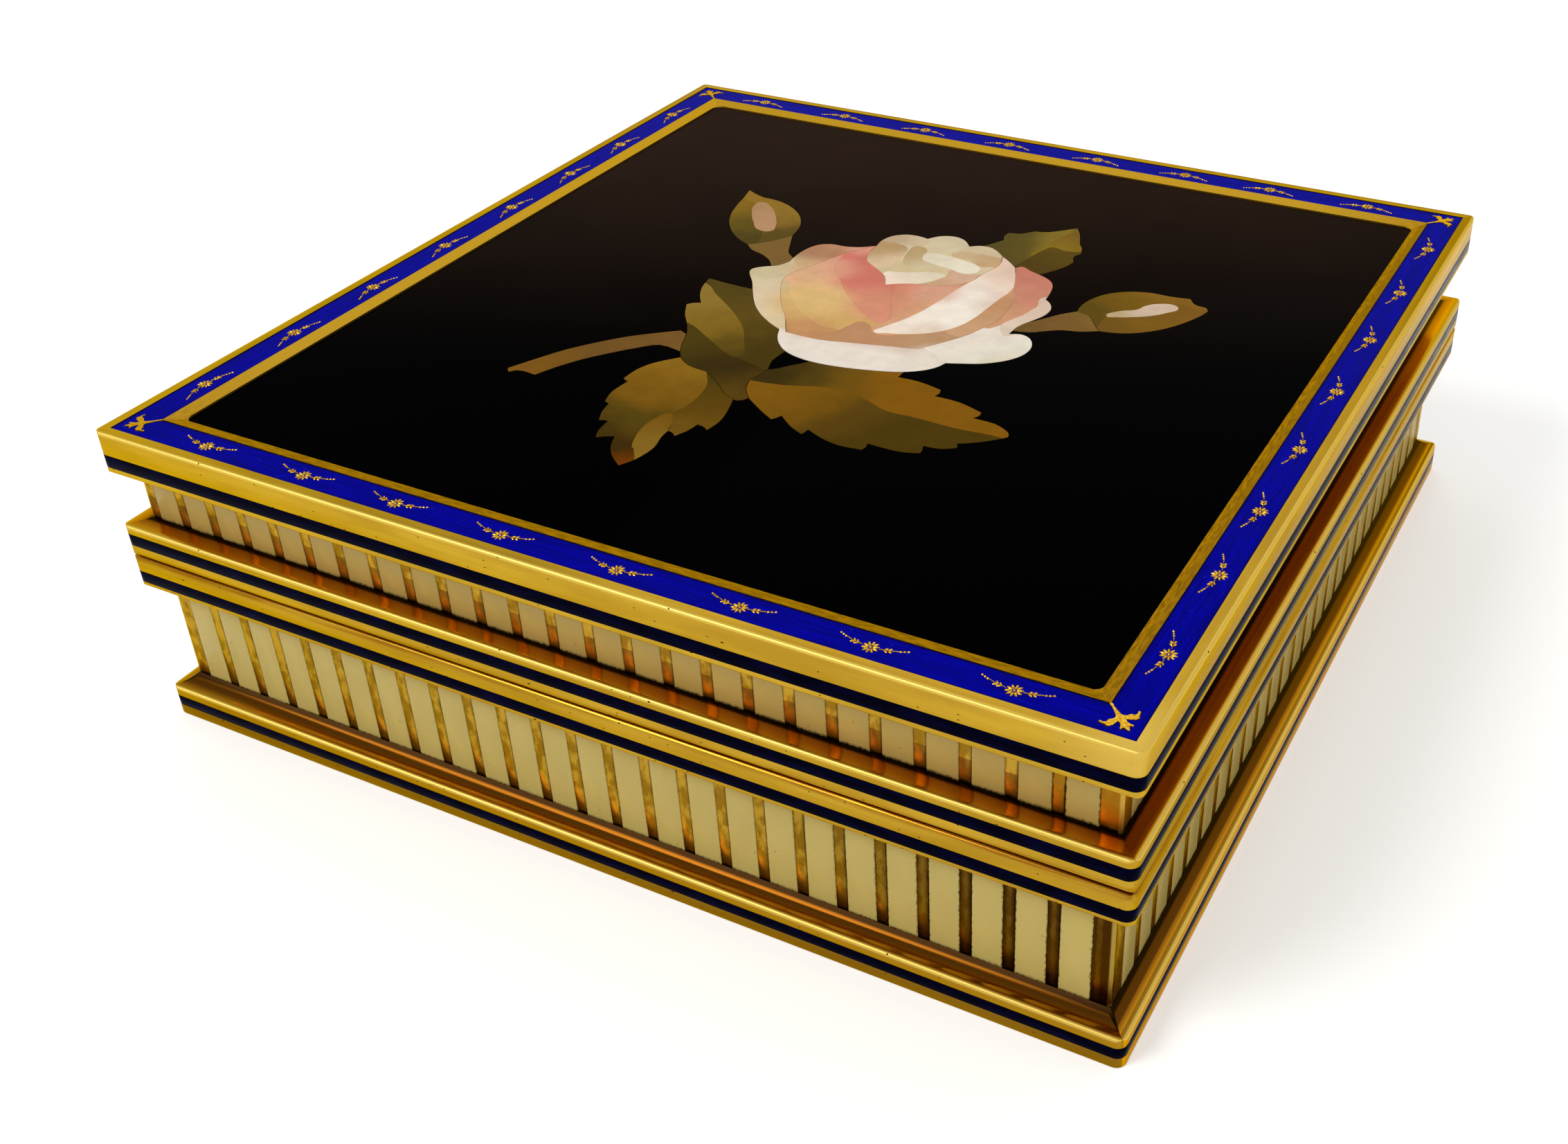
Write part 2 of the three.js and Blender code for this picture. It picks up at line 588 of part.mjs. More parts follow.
// Points of a closed outline, counter-clockwise, from the rows of one of the tables
function smoothOutline(rows) {
  const points = rows.flatMap((row, i) => {
    const corners = [rows.at(i - 1).at(-1), ...row].map(([x, y]) => new THREE.Vector2(x, y));
    const edge = new THREE.SplineCurve(corners);
    return row.length > 1 ? edge.getPoints(EDGE_STEPS * row.length).slice(1) : [corners[1]];
  });
  return THREE.ShapeUtils.isClockWise(points) ? points.reverse() : points;
}

// Inlays in the order in which they lie over one another: each is cut back by those before it
const INLAYS = [
  ['rose_heart', ROSE_HEART, PALE_STONE],
  ['rose_inner_petals', INNER_PETALS, PINK_STONE],
  ['rose_outer_petals', OUTER_PETALS, WHITE_STONE],
  ['bud_left', BUD_LEFT, OCHRE_STONE],
  ['bud_right', BUD_RIGHT, OCHRE_STONE],
  ['bud_left_calyx', CALYX_LEFT, TAN_STONE],
  ['bud_right_calyx', CALYX_RIGHT, TAN_STONE],
  ['leaf_left', LEAF_LEFT, OLIVE_STONE],
  ['leaf_lower_left', LEAF_LOWER_LEFT, OCHRE_STONE],
  ['leaf_lower_right', LEAF_LOWER_RIGHT, OLIVE_STONE],
  ['leaf_top', LEAF_TOP, OLIVE_STONE],
  ['stem', STEM, TAN_STONE],
];

function meshOf(name, geometry, look) {
  const mesh = new THREE.Mesh(geometry, new THREE.MeshStandardMaterial(look));
  mesh.name = name;
  return mesh;
}

// The four sides of one moulding or wall, the front one turned round the box by quarter turns
const SIDES = ['front', 'right', 'back', 'left'];

function fourSides(group, name, look, geometryOf) {
  SIDES.forEach((side, turns) => {
    const mesh = meshOf(`${name}_${side}`, geometryOf(side), look);
    mesh.rotation.z = (turns * Math.PI) / 2;
    group.add(mesh);
  });
}

function addMoulding(group, name, section, lineBottom, lineHeight, hinged = false) {
  const rail = grooved(section, lineBottom, lineHeight);
  const backRail = hinged ? rail.subtract(gullyCut()) : rail;
  fourSides(group, `${name}_rail`, BRIGHT_GILT, (side) =>
    toGeometry(side === 'back' ? backRail : rail));
  group.add(meshOf(`${name}_enamel_line`, enamelLine(lineBottom, lineHeight), NAVY_ENAMEL));
}

function addWalls(group, name, ledgeLevel, friezeHeight, leftPost, rightPost, sidePost) {
  const long = stripePlaces(leftPost, rightPost);
  const short = stripePlaces(sidePost, sidePost);
  const places = { front: long, right: short, back: long, left: short };
  fourSides(group, `${name}_wall`, GILT, (side) =>
    toGeometry(wallPlate(places[side], ledgeLevel, friezeHeight)));
  fourSides(group, `${name}_stripes`, CREAM_ENAMEL, (side) =>
    stripeComb(places[side], ledgeLevel, friezeHeight));
}

function buildBase() {
  const base = new THREE.Group();
  const plate = squareSlab(wallInner - PLATE_SEAT + SOLDER_SEAM, 0, PLATE_THICK);
  base.add(meshOf('bottom_plate', plate, GILT));
  addMoulding(base, 'foot', footSection, FOOT_BELOW, FOOT_LINE);
  addWalls(base, 'base', baseLedge, BASE_FRIEZE, BASE_POST_LEFT, BASE_POST_RIGHT, BASE_SIDE_POST);
  addMoulding(base, 'rim', rimSection, rimBottom + RIM_BELOW, RIM_LINE, true);
  fourSides(base, 'locating_lip', GILT, lipStrip);
  base.add(meshOf('base_hinge_leaf', toGeometry(hingeLeaf(-1, 0)), GILT));
  base.add(meshOf('hinge_pin', hingePin(), GILT));
  return base;
}

function buildStonework(lid) {
  const stoneTop = bezelUnder - SOLDER_SEAM;
  const stoneBottom = stoneTop - STONE_THICK;
  const scale = (PLAN - 2 * panelInset) / SPRAY_PANEL;
  const placed = (points) =>
    points.map(({ x, y }) => [(ROSE_X + x) * scale, (ROSE_Y + y) * scale]);
  const raised = (points, spare) =>
    toSolid(prism(toShape(points), stoneBottom - spare, stoneTop + spare));
  const rooms = [];
  for (const [name, rows, look] of INLAYS) {
    const outline = placed(smoothOutline(rows));
    const inlay = rooms.reduce((rest, room) => rest.subtract(room), raised(outline, 0));
    lid.add(meshOf(name, toGeometry(inlay), look));
    rooms.push(raised(grown(outline, INLAY_GAP), OVERCUT));
  }
  const slab = toSolid(squareSlab(panelInset + SOLDER_SEAM, stoneBottom, stoneTop));
  const ground = slab.subtract(joined(rooms));
  lid.add(meshOf('black_stone_ground', toGeometry(ground), BLACK_STONE));
  const slate = squareSlab(panelInset + SOLDER_SEAM, topBottom, stoneBottom - SOLDER_SEAM);
  lid.add(meshOf('slate_backing', slate, SLATE));
}

function buildLid() {
  const lid = new THREE.Group();
  addMoulding(lid, 'lid_flange', flangeSection, flangeBottom + FLANGE_BELOW, FLANGE_LINE, true);
  addWalls(lid, 'lid', lidLedge, LID_FRIEZE, LID_POST_LEFT, LID_POST_RIGHT, LID_SIDE_POST);
  addMoulding(lid, 'lid_top', topSection, topBottom + TOP_BELOW, TOP_LINE);
  const border = toShape(squarePoints(TOP_FLAT + SOLDER_SEAM, 0));
  border.holes.push(toShape(squarePoints(borderInner - SOLDER_SEAM, 0)));
  const borderBottom = height - BORDER_DEPTH + SOLDER_SEAM;
  lid.add(meshOf('border_enamel', prism(border, borderBottom, height), COBALT_ENAMEL));
  buildStonework(lid);
  const linerTop = topBottom - SOLDER_SEAM;
  const liner = squareSlab(wallInner + SOLDER_SEAM, linerTop - LINER_THICK, linerTop);
  lid.add(meshOf('lid_liner', liner, GILT));
  lid.add(meshOf('lid_hinge_leaf', toGeometry(hingeLeaf(1, 1)), GILT));
  return lid;
}

const box = new THREE.Group();
box.add(buildBase(), buildLid());

export default box;
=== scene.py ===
"""Square gilt box with striped enamel sides and a lid of black stone inlaid with a rose spray.

The CAD nodes say where everything is. Mouldings, walls, stripes and enamel are merged copies of them with
softened edges, the inlaid flowers are cut into the single stones that make them up, and the foil garlands of
the border are modelled here. Lengths are in millimetres until MM turns them into metres.
"""

import json
import math
from collections import namedtuple

import bpy
from mathutils import Matrix, Vector

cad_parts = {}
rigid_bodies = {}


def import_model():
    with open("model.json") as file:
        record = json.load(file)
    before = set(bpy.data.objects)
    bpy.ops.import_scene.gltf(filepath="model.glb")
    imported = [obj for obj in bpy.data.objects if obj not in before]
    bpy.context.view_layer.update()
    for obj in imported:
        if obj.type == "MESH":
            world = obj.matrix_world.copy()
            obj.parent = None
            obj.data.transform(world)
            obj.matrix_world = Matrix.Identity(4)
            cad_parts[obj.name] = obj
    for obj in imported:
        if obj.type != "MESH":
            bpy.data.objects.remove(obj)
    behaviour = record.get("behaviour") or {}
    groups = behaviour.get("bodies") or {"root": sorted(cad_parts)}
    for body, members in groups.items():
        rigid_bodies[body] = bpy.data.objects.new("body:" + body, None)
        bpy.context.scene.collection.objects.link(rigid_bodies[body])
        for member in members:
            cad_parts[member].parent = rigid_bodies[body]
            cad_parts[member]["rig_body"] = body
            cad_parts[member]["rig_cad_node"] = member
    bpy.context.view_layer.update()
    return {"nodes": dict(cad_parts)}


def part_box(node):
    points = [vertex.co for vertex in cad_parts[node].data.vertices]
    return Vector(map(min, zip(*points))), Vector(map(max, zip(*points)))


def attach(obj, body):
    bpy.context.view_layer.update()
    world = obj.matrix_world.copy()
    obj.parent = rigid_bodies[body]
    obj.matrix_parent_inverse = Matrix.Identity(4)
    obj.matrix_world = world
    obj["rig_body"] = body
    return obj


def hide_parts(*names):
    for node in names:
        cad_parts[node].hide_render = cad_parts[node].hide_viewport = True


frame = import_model()

bl_info = {
    "name": "Stone mosaic box",
    "version": (1, 0, 0),
    "blender": (4, 5, 0),
    "location": "3D View > Sidebar > Mosaic Box",
    "description": "Dresses a gilt box: mouldings, enamel stripes, stone rose spray and foil garlands",
    "category": "Object",
}

MM = 0.001
SIDES = ("front", "right", "back", "left")
PLAN = 160.0
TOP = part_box("border_enamel")[1].z / MM
STONE_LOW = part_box("rose_heart")[0].z / MM
STONE_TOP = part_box("rose_heart")[1].z / MM

# Heights on the mouldings, from the foot up. The two middles part one moulding from the next
FOOT_ARRIS = 5.1
BASE_MIDDLE = 15.6
SEAM = 29.9
FLANGE_LOW = 30.4
FLANGE_ARRIS = 35.2
LID_MIDDLE = 40.0
TOP_LINE_HIGH = 47.6
BEZEL_LOW = 49.8
FACE_LOW = 50.9

# The front's bars and stripes lie in front of this plane
FRONT_WALL = 4.0 - PLAN / 2

# Middle of the rose on the lid, before the spray is enlarged by its scale
ROSE = (2.7, 9.9)
SPRAY_SCALE = 1.04

# The border runs between these two distances in from the outer plan, and the bezel's inner edge lies at the
# third
BORDER_OUTER = 1.74
BORDER_INNER = 6.74
BEZEL_INNER = 8.74


def on_panel(x, y):
    """The place on the lid of a point of the spray, given from the middle of the rose."""
    return (ROSE[0] + x) * SPRAY_SCALE, (ROSE[1] + y) * SPRAY_SCALE


def tone(code):
    """An sRGB hex colour as the linear red, green, blue and alpha that a shader takes."""
    parts = [int(code[i:i + 2], 16) / 255 for i in (1, 3, 5)]
    return [c / 12.92 if c <= 0.04045 else ((c + 0.055) / 1.055) ** 2.4 for c in parts] + [1.0]


# Settings

def shade(name, text, code):
    return bpy.props.FloatVectorProperty(
        name=name, description=text, subtype="COLOR", size=4, min=0, max=1, default=tone(code))


def length(name, text, millimetres):
    return bpy.props.FloatProperty(
        name=name, description=text, unit="LENGTH", subtype="DISTANCE", min=0, default=millimetres * MM)


class MosaicBoxColours(bpy.types.PropertyGroup):
    gold: shade("Gold", "Gilding of the mouldings", "#c6a032")
    # The colour of the painted highlights on the arrises and the corners
    rubbed_gold: shade("Rubbed gold", "Gilding worn pale on the arrises", "#dcbc5c")
    bar_gold: shade("Bar gold", "Gilding of the upright bars", "#b48e30")
    bronze: shade("Bronze", "Bezel that holds the stone panel", "#aa7c1a")
    cream: shade("Cream enamel", "Stripes of the base", "#bda860")
    grey_cream: shade("Grey cream enamel", "Stripes of the lid", "#b49a58")
    navy: shade("Navy enamel", "Lines round the mouldings", "#020210")
    cobalt: shade("Cobalt enamel", "Border of the lid", "#04049c")
    black: shade("Black stone", "Ground of the panel", "#000000")


class MosaicBoxSizes(bpy.types.PropertyGroup):
    edge_round: length("Edge rounding", "Rounding of the metal's and enamel's sharp edges", 0.08)
    stone_round: length("Stone rounding", "Rounding of the top edge of each inlaid stone", 0.03)
    garland_span: length("Garland span", "Length of one garland, end bead to end bead", 9.35)
    enamel_drop: length("Enamel drop", "How far the border's enamel lies below the gold", 0.12)


# Shader helpers

class Number:
    """A number that a shader works out. It is added, compared and so on like a plain number."""

    def __init__(self, tree, socket):
        self.tree = tree
        self.socket = socket

    def compute(self, operation, *others):
        """What a Math node makes of this number and the others."""
        made = add(self.tree, "Math", dict(enumerate((self, *others))), operation=operation)
        return Number(self.tree, made.outputs[0])

    def __add__(self, other):
        return self.compute("ADD", other)

    def __sub__(self, other):
        return self.compute("SUBTRACT", other)

    def __rsub__(self, other):
        return self.compute("MULTIPLY_ADD", -1.0, other)

    def __mul__(self, other):
        return self.compute("MULTIPLY", other)

    def __truediv__(self, other):
        return self.compute("DIVIDE", other)

    def __gt__(self, other):
        return self.compute("GREATER_THAN", other)

    def __lt__(self, other):
        return self.compute("LESS_THAN", other)

    def __abs__(self):
        return self.compute("ABSOLUTE")

    def largest(self, other):
        return self.compute("MAXIMUM", other)

    def step(self, low, high, first=0.0, last=1.0):
        """A smooth step from first to last as this number goes from low to high."""
        made = add(self.tree, "MapRange", {0: self, 1: low, 2: high, 3: first, 4: last},
                   interpolation_type="SMOOTHSTEP")
        return Number(self.tree, made.outputs[0])


def add(tree, kind, inputs=None, stops=None, **settings):
    """Adds a shader node: its settings, a ramp's stops, and its inputs as values or as outputs to link."""
    made = tree.nodes.new("ShaderNode" + kind)
    for key, value in settings.items():
        setattr(made, key, value)
    if stops:
        ramp = made.color_ramp.elements
        while len(ramp) < len(stops):
            ramp.new(0.5)
        for element, (place, code) in zip(ramp, stops):
            element.position = place
            element.color = tone(code)
    for key, value in (inputs or {}).items():
        if isinstance(value, Number):
            value = value.socket
        if isinstance(value, bpy.types.NodeSocket):
            tree.links.new(value, made.inputs[key])
        else:
            made.inputs[key].default_value = value
    return made


def blend(tree, factor, first, second):
    """Mixes two colours, each of them an output, a hex code or the four numbers of a setting."""
    first, second = (tone(colour) if isinstance(colour, str) else colour for colour in (first, second))
    return add(tree, "Mix", {0: factor, 6: first, 7: second}, data_type="RGBA").outputs[2]


class Finish:
    """A material in the making: its node tree, its shader, and the place on the object in millimetres."""

    def __init__(self, name, **sockets):
        self.material = bpy.data.materials.new(name)
        self.material.use_nodes = True
        self.tree = self.material.node_tree
        self.shader = self.tree.nodes["Principled BSDF"]
        for key, value in sockets.items():
            self.shader.inputs[key.replace("_", " ")].default_value = value
        self.place = self.stretched(add(self.tree, "TexCoord").outputs["Object"], (1 / MM,) * 3)
        split = add(self.tree, "SeparateXYZ", {0: self.place}).outputs
        self.x, self.y, self.height = (Number(self.tree, output) for output in split)

    def stretched(self, place, scale):
        return add(self.tree, "Mapping", {"Vector": place, "Scale": scale}).outputs[0]

    def blend(self, factor, first, second):
        return blend(self.tree, factor, first, second)

    def ramp(self, factor, stops):
        return add(self.tree, "ValToRGB", {0: factor}, stops=stops)

    def grain(self, place, scale, detail=3.0, roughness=0.55):
        """Noise whose features are about 1 / scale millimetres across, with a scale for each direction."""
        made = add(self.tree, "TexNoise", {"Vector": self.stretched(place, scale), "Scale": 1.0,
                                           "Detail": detail, "Roughness": roughness})
        return Number(self.tree, made.outputs[0])

    def measure(self, operation, first, second):
        """The number that a Vector Math node makes of two vectors."""
        made = add(self.tree, "VectorMath", {0: first, 1: second}, operation=operation)
        return Number(self.tree, made.outputs["Value"])

    def done(self, colour, roughness=None, bump=None):
        """Links what was worked out. A bump is its pattern, its strength and its depth in millimetres."""
        self.tree.links.new(colour, self.shader.inputs["Base Color"])
        if roughness:
            self.tree.links.new(roughness.socket, self.shader.inputs["Roughness"])
        if bump:
            pattern, strength, depth = bump
            made = add(self.tree, "Bump", {"Height": pattern, "Strength": strength, "Distance": depth * MM})
            self.tree.links.new(made.outputs[0], self.shader.inputs["Normal"])
        return self.material


class SideFinish(Finish):
    """A finish that runs along the four sides. It knows how far along and how far in a place is."""

    def __init__(self, name, **sockets):
        super().__init__(name, **sockets)
        far_x, far_y = abs(self.x), abs(self.y)
        made = add(self.tree, "Mix", {0: far_x > far_y, 2: self.x, 3: self.y})
        self.along = Number(self.tree, made.outputs[0])
        self.inset = PLAN / 2 - far_x.largest(far_y)
        self.side = add(self.tree, "CombineXYZ", {0: self.along, 1: self.inset, 2: self.height}).outputs[0]
        self.face = add(self.tree, "CombineXYZ", {0: self.along, 1: self.height}).outputs[0]

    def bars(self, row, aged_from, aged_to):
        """How far a place is from the middle of the nearest bar, and how far the place is into the stretch of
        the front that is painted dark.
        """
        in_front = self.y < FRONT_WALL
        step = in_front * (row.front_pitch - row.pitch) + row.pitch
        start = self.along - in_front * row.front_middle
        off_middle = abs((start / step).compute("FRACT") - 0.5)
        return off_middle * step, in_front * self.x.step(aged_from, aged_to)

    def pits(self, spacing, size, share):
        """Small dark casting pits on a side's face: a cell pattern with one pit in some of its cells."""
        cells = add(self.tree, "TexVoronoi", {"Vector": self.stretched(self.face, (0.5, 1.0, 1.0)),
                                              "Scale": 1 / spacing}, voronoi_dimensions="2D")
        away = Number(self.tree, cells.outputs["Distance"])
        draw = Number(self.tree, add(self.tree, "SeparateColor", {0: cells.outputs["Color"]}).outputs[0])
        return away.step(size * 0.6 / spacing, size / spacing, 1.0, 0.0) * (draw < share)


# Materials

# A warm tint keeps gilding golden where it is seen at a low angle
GILT = {"Metallic": 1.0, "Specular_Tint": tone("#f2dba0")}


def browned_ledge(gilt):
    """The colour of the two ledges: painted shade that darkens and warms them more and more towards the wall,
    near black against it as a painted contact shadow.
    """
    depth = gilt.inset.step(0.4, 3.0)
    foot = gilt.ramp(depth, [
        (0.0, "#b8861c"), (0.25, "#94600f"), (0.5, "#6a400c"), (0.9, "#583208"), (0.97, "#1c0f04")])
    flange = gilt.ramp(depth, [(0.0, "#c89220"), (0.25, "#c07c1e"), (0.85, "#965814"), (0.97, "#1c0f04")])
    return gilt.blend(gilt.height > BASE_MIDDLE, foot.outputs[0], flange.outputs[0])


def rubbed_bezel(gilt, colours):
    """The colour of the bezel: bronze mottled by wear, and painted lighter towards the back and the left as
    light on its slope.
    """
    worn = gilt.grain(gilt.side, (0.6, 2.5, 2.5), 4.0)
    bronze = gilt.blend(worn.step(0.35, 0.7), colours.bronze, "#7c5812")
    # Painted light: the bezel lighter towards the back and the left
    return gilt.blend((gilt.y - gilt.x).step(-25.0, 25.0), bronze, "#b58e2a")


def gilt_moulding(colours):
    # Fire-gilt silver, drawn and burnished: a warm mirror with faint lines along its length, with painted
    # shade deepening towards the foot and darkest at its underside, and painted shade in streaks along the
    # join under the lid
    gilt = SideFinish("gilt_silver_burnished", **GILT)
    x, y, height, inset = gilt.x, gilt.y, gilt.height, gilt.inset
    lines = gilt.grain(gilt.side, (0.02, 3.0, 3.0))
    cloud = gilt.grain(gilt.side, (0.04, 0.25, 0.25))
    streaks = gilt.grain(gilt.side, (0.05, 1.5, 1.5))
    colour = gilt.blend(cloud.step(0.3, 0.7), colours.gold, "#b08a28")
    colour = gilt.blend(lines.step(0.55, 0.75, 0.0, 0.25), colour, "#8a661c")
    # Painted shade: the gold deepens towards the foot and is darkest at its underside
    colour = gilt.blend(height.step(44.0, 0.0, 0.0, 0.6), colour, "#966812")
    colour = gilt.blend(height.step(1.9, 1.5, 0.0, 0.5), colour, "#5c3c0c")
    # Painted shade in streaks along the join between base and lid
    seam = abs(height - SEAM).step(0.5, 1.2, 1.0, 0.0)
    colour = gilt.blend(seam * streaks.step(0.4, 0.6, 0.2, 0.8), colour, "#8c5812")

    # The two ledges with their painted shade, the lower one also darkened along its mitres, and the bezel
    on_foot = height < BASE_MIDDLE
    on_flange = (height > FLANGE_LOW) * (height < LID_MIDDLE)
    ledge = inset.step(0.3, 0.7) * on_foot.largest(on_flange) * inset.step(3.7, 3.9, 1.0, 0.0)
    mitre = (abs(abs(x) - abs(y)) - inset * 0.3).step(-0.2, -0.4) * ledge * on_foot
    bezel = inset.step(6.5, 6.7) * (height > BEZEL_LOW)
    colour = gilt.blend(ledge, colour, browned_ledge(gilt))
    colour = gilt.blend(bezel, colour, rubbed_bezel(gilt, colours))

    # The lengths on the right get painted shade, except their foot, which gets a painted highlight above a
    # ledge painted dark with shade
    right = x > abs(y)
    dull = (height > FACE_LOW).largest(on_flange) * (1.0 - ledge)
    colour = gilt.blend(right * dull * y.step(-80.0, 50.0, 0.25, 0.6), colour, "#7c5c24")
    # Painted highlight on the right-hand foot, over a ledge painted dark with shade
    below = gilt.blend(inset.step(0.2, 0.5), "#ecaa1e", "#4c2e08")
    colour = gilt.blend(right * (height < FOOT_ARRIS + 0.1) * 0.6, colour, below)

    # Painted highlights on the arrises and at the top frame's corner in front on the right; pitted on the
    # sides
    arris = (x - y).step(145.0, 158.0, 0.0, 0.5) * (height > TOP_LINE_HIGH)
    for edge in (TOP, FLANGE_ARRIS, FOOT_ARRIS):
        arris = arris.largest((inset + abs(height - edge)).step(0.3, 0.6, 0.8, 0.0))
    colour = gilt.blend(arris, colour, colours.rubbed_gold)
    spots = gilt.pits(1.3, 0.09, 0.16).largest(gilt.pits(3.2, 0.14, 0.12)) * (inset < 0.3)
    colour = gilt.blend(spots.largest(mitre), colour, "#1c0f03")
    rough = lines.step(0.3, 0.8, 0.2, 0.28) + bezel * 0.16 - ledge * (on_foot * 0.06 + 0.06) + arris * 0.22
    return gilt.done(colour, rough, (1.0 - spots, 0.2, 0.03))


def gilt_bars(colours, name, row, brown, black, aged, aged_code):
    # Cast and gilt bars: mottled gold with painted shade along their edges, painted darker and warmer below
    # one height as the ledge reflected in them, painted black below another as contact shadow, and painted
    # dark on a stretch of the front as a reflection of dark surroundings. The wall's inner face is plain
    gilt = SideFinish(name, **GILT)
    along, height = gilt.along, gilt.height
    cloud = gilt.grain(gilt.place, (0.7, 0.7, 0.4), 4.0)
    wave = gilt.grain(gilt.place, (1.0, 1.0, 0.8)) * 0.5 - 0.25
    from_middle, age = gilt.bars(row, *aged)
    edge = from_middle + wave
    colour = gilt.blend(cloud.step(0.4, 0.6), colours.bar_gold, "#8e6a1c")
    # Painted reflection of the ledge: the bars darker and warmer below one height
    low = (wave * 0.4 + height).step(brown, brown + 0.25, 1.0, 0.0)
    colour = gilt.blend(low, colour, gilt.blend(cloud.step(0.3, 0.7), "#906a22", "#704c16"))
    # Painted reflection of dark surroundings on a stretch of the front, lighter down each bar's middle
    colour = gilt.blend(age * edge.step(0.15, 0.5, 0.85, 1.0), colour, aged_code)
    # Painted shade along the bars' edges, stronger on that stretch, and painted black contact shadow at their
    # foot
    sooty = edge.step(0.55, 0.78) * (age * 0.5 + 0.4) * abs(along).step(72.6, 73.0, 1.0, 0.0)
    sooty = sooty.largest((height + wave).step(black, black + 0.5, 1.0, 0.0))
    colour = gilt.blend(sooty, colour, "#160b02")
    # Painted highlight on the outer face of the walls by the box's corners
    rubbed = gilt.inset.largest(PLAN / 2 - abs(along)).step(3.5, 3.8, 0.45, 0.0)
    colour = gilt.blend(rubbed, colour, colours.rubbed_gold)
    colour = gilt.blend(gilt.inset.step(4.35, 4.5), colour, gilt.blend(cloud, "#cfa540", "#b88c30"))
    rough = cloud.step(0.3, 0.7, 0.22, 0.36) + low * 0.16
    return gilt.done(colour, rough, (cloud, 0.15, 0.08))


def gilt_inside(colours):
    # Gilding inside the box, matt from the pickle bath and never burnished
    gilt = Finish("gilt_silver_matt", **GILT)
    cloud = gilt.grain(gilt.place, (0.15,) * 3, 4.0)
    fine = gilt.grain(gilt.place, (3.0,) * 3)
    colour = gilt.blend(cloud.step(0.35, 0.7), "#cfa540", "#b88c30")
    return gilt.done(colour, fine.step(0.3, 0.7, 0.3, 0.45), (fine, 0.2, 0.02))


def cream_enamel(colours, name, row, foot, aged):
    # Opaque enamel, fired and stoned flush: soft gloss and a few grit specks, with painted shade at its foot
    # and beside the bars
    cream = SideFinish(name, IOR=1.5, Specular_IOR_Level=0.06)
    height = cream.height
    lid = height > SEAM
    cloud = cream.grain(cream.place, (0.25, 0.25, 0.1))
    colour = cream.blend(lid, colours.cream, colours.grey_cream)
    colour = cream.blend(cloud.step(0.4, 0.75, 0.0, 0.25), colour, "#ad9654")
    # Painted shade: the base's stripes darken up under the rim, and the lid's darken towards their foot
    head = height.step(19.5, 24.5, 0.0, 0.65) * (1.0 - lid)
    low = height.step(42.5, 36.5, 0.0, 0.3) * lid
    colour = cream.blend(head.largest(low), colour, "#8e6c22")
    wave = cream.grain(cream.place, (2.2, 2.2, 1.6)) * 0.7 - 0.35
    from_middle, age = cream.bars(row, *aged)
    # Painted shade beside the bars, stronger on the front's dark stretch, and painted contact shadow at the
    # stripes' foot
    beside = (from_middle + wave).step(0.8, 1.05, 1.0, 0.0) * (age * 0.6 + 0.25)
    burnt = (height + wave).step(foot, foot + 0.6, 1.0, 0.0)
    colour = cream.blend(beside.largest(burnt), colour, "#1e1206")
    colour = cream.blend(cream.pits(1.6, 0.09, 0.05), colour, "#6f5a2c")
    return cream.done(colour, cloud.step(0.3, 0.7, 0.22, 0.34), (cloud, 0.05, 0.1))


def navy_enamel(colours):
    # Gloss enamel line, nearly black, with a thin sheen along its faces
    navy = SideFinish("navy_gloss_enamel", IOR=1.5, Specular_IOR_Level=0.006)
    cloud = navy.grain(navy.side, (0.2, 1.0, 1.0))
    colour = navy.blend(cloud.step(0.4, 0.8), colours.navy, "#05052a")
    return navy.done(colour, cloud.step(0.3, 0.7, 0.12, 0.24), (cloud, 0.15, 0.06))


def cobalt_enamel(colours):
    # Blue enamel over engine-turned gold: deep colour with fine lines along the side, darker at its edges
    cobalt = SideFinish("cobalt_enamel_over_engine_turning", IOR=1.5, Specular_IOR_Level=0.004)
    lines = cobalt.grain(cobalt.side, (0.12, 2.4, 1.0), 5.0, 0.65)
    glints = cobalt.grain(cobalt.side, (0.9, 2.2, 1.0))
    edges = cobalt.inset.step(1.7, 2.3, 0.8, 0.0).largest(cobalt.inset.step(6.2, 6.8, 0.0, 0.8))
    colour = cobalt.blend(lines.step(0.3, 0.7), "#030370", colours.cobalt)
    colour = cobalt.blend(glints.step(0.66, 0.8, 0.0, 0.5), colour, "#2040d0")
    colour = cobalt.blend(edges, colour, "#02022e")
    return cobalt.done(colour, lines.step(0.3, 0.7, 0.08, 0.2), (lines, 0.15, 0.04))


def black_stone(colours):
    # Black marble, lapped and polished: a deep black with hardly a vein, with a painted reflection of the
    # bezel that browns it a little towards the back
    stone = Finish("black_marble_polished", Specular_IOR_Level=0.0015)
    cloud = stone.grain(stone.place, (0.04,) * 3, 5.0)
    back = (stone.y - stone.x * 0.4).step(-25.0, 85.0)
    colour = stone.blend(back * cloud.step(0.2, 0.7, 0.8, 1.0), colours.black, "#271a11")
    return stone.done(colour, cloud.step(0.3, 0.7, 0.05, 0.1))


def slate(colours):
    # Slate slab, sawn and never polished
    stone = Finish("slate_sawn", Roughness=0.85)
    saw = stone.grain(stone.place, (0.1, 2.0, 0.5), 4.0)
    return stone.done(stone.blend(saw.step(0.35, 0.65), "#3b3e42", "#53565a"), bump=(saw, 0.3, 0.05))


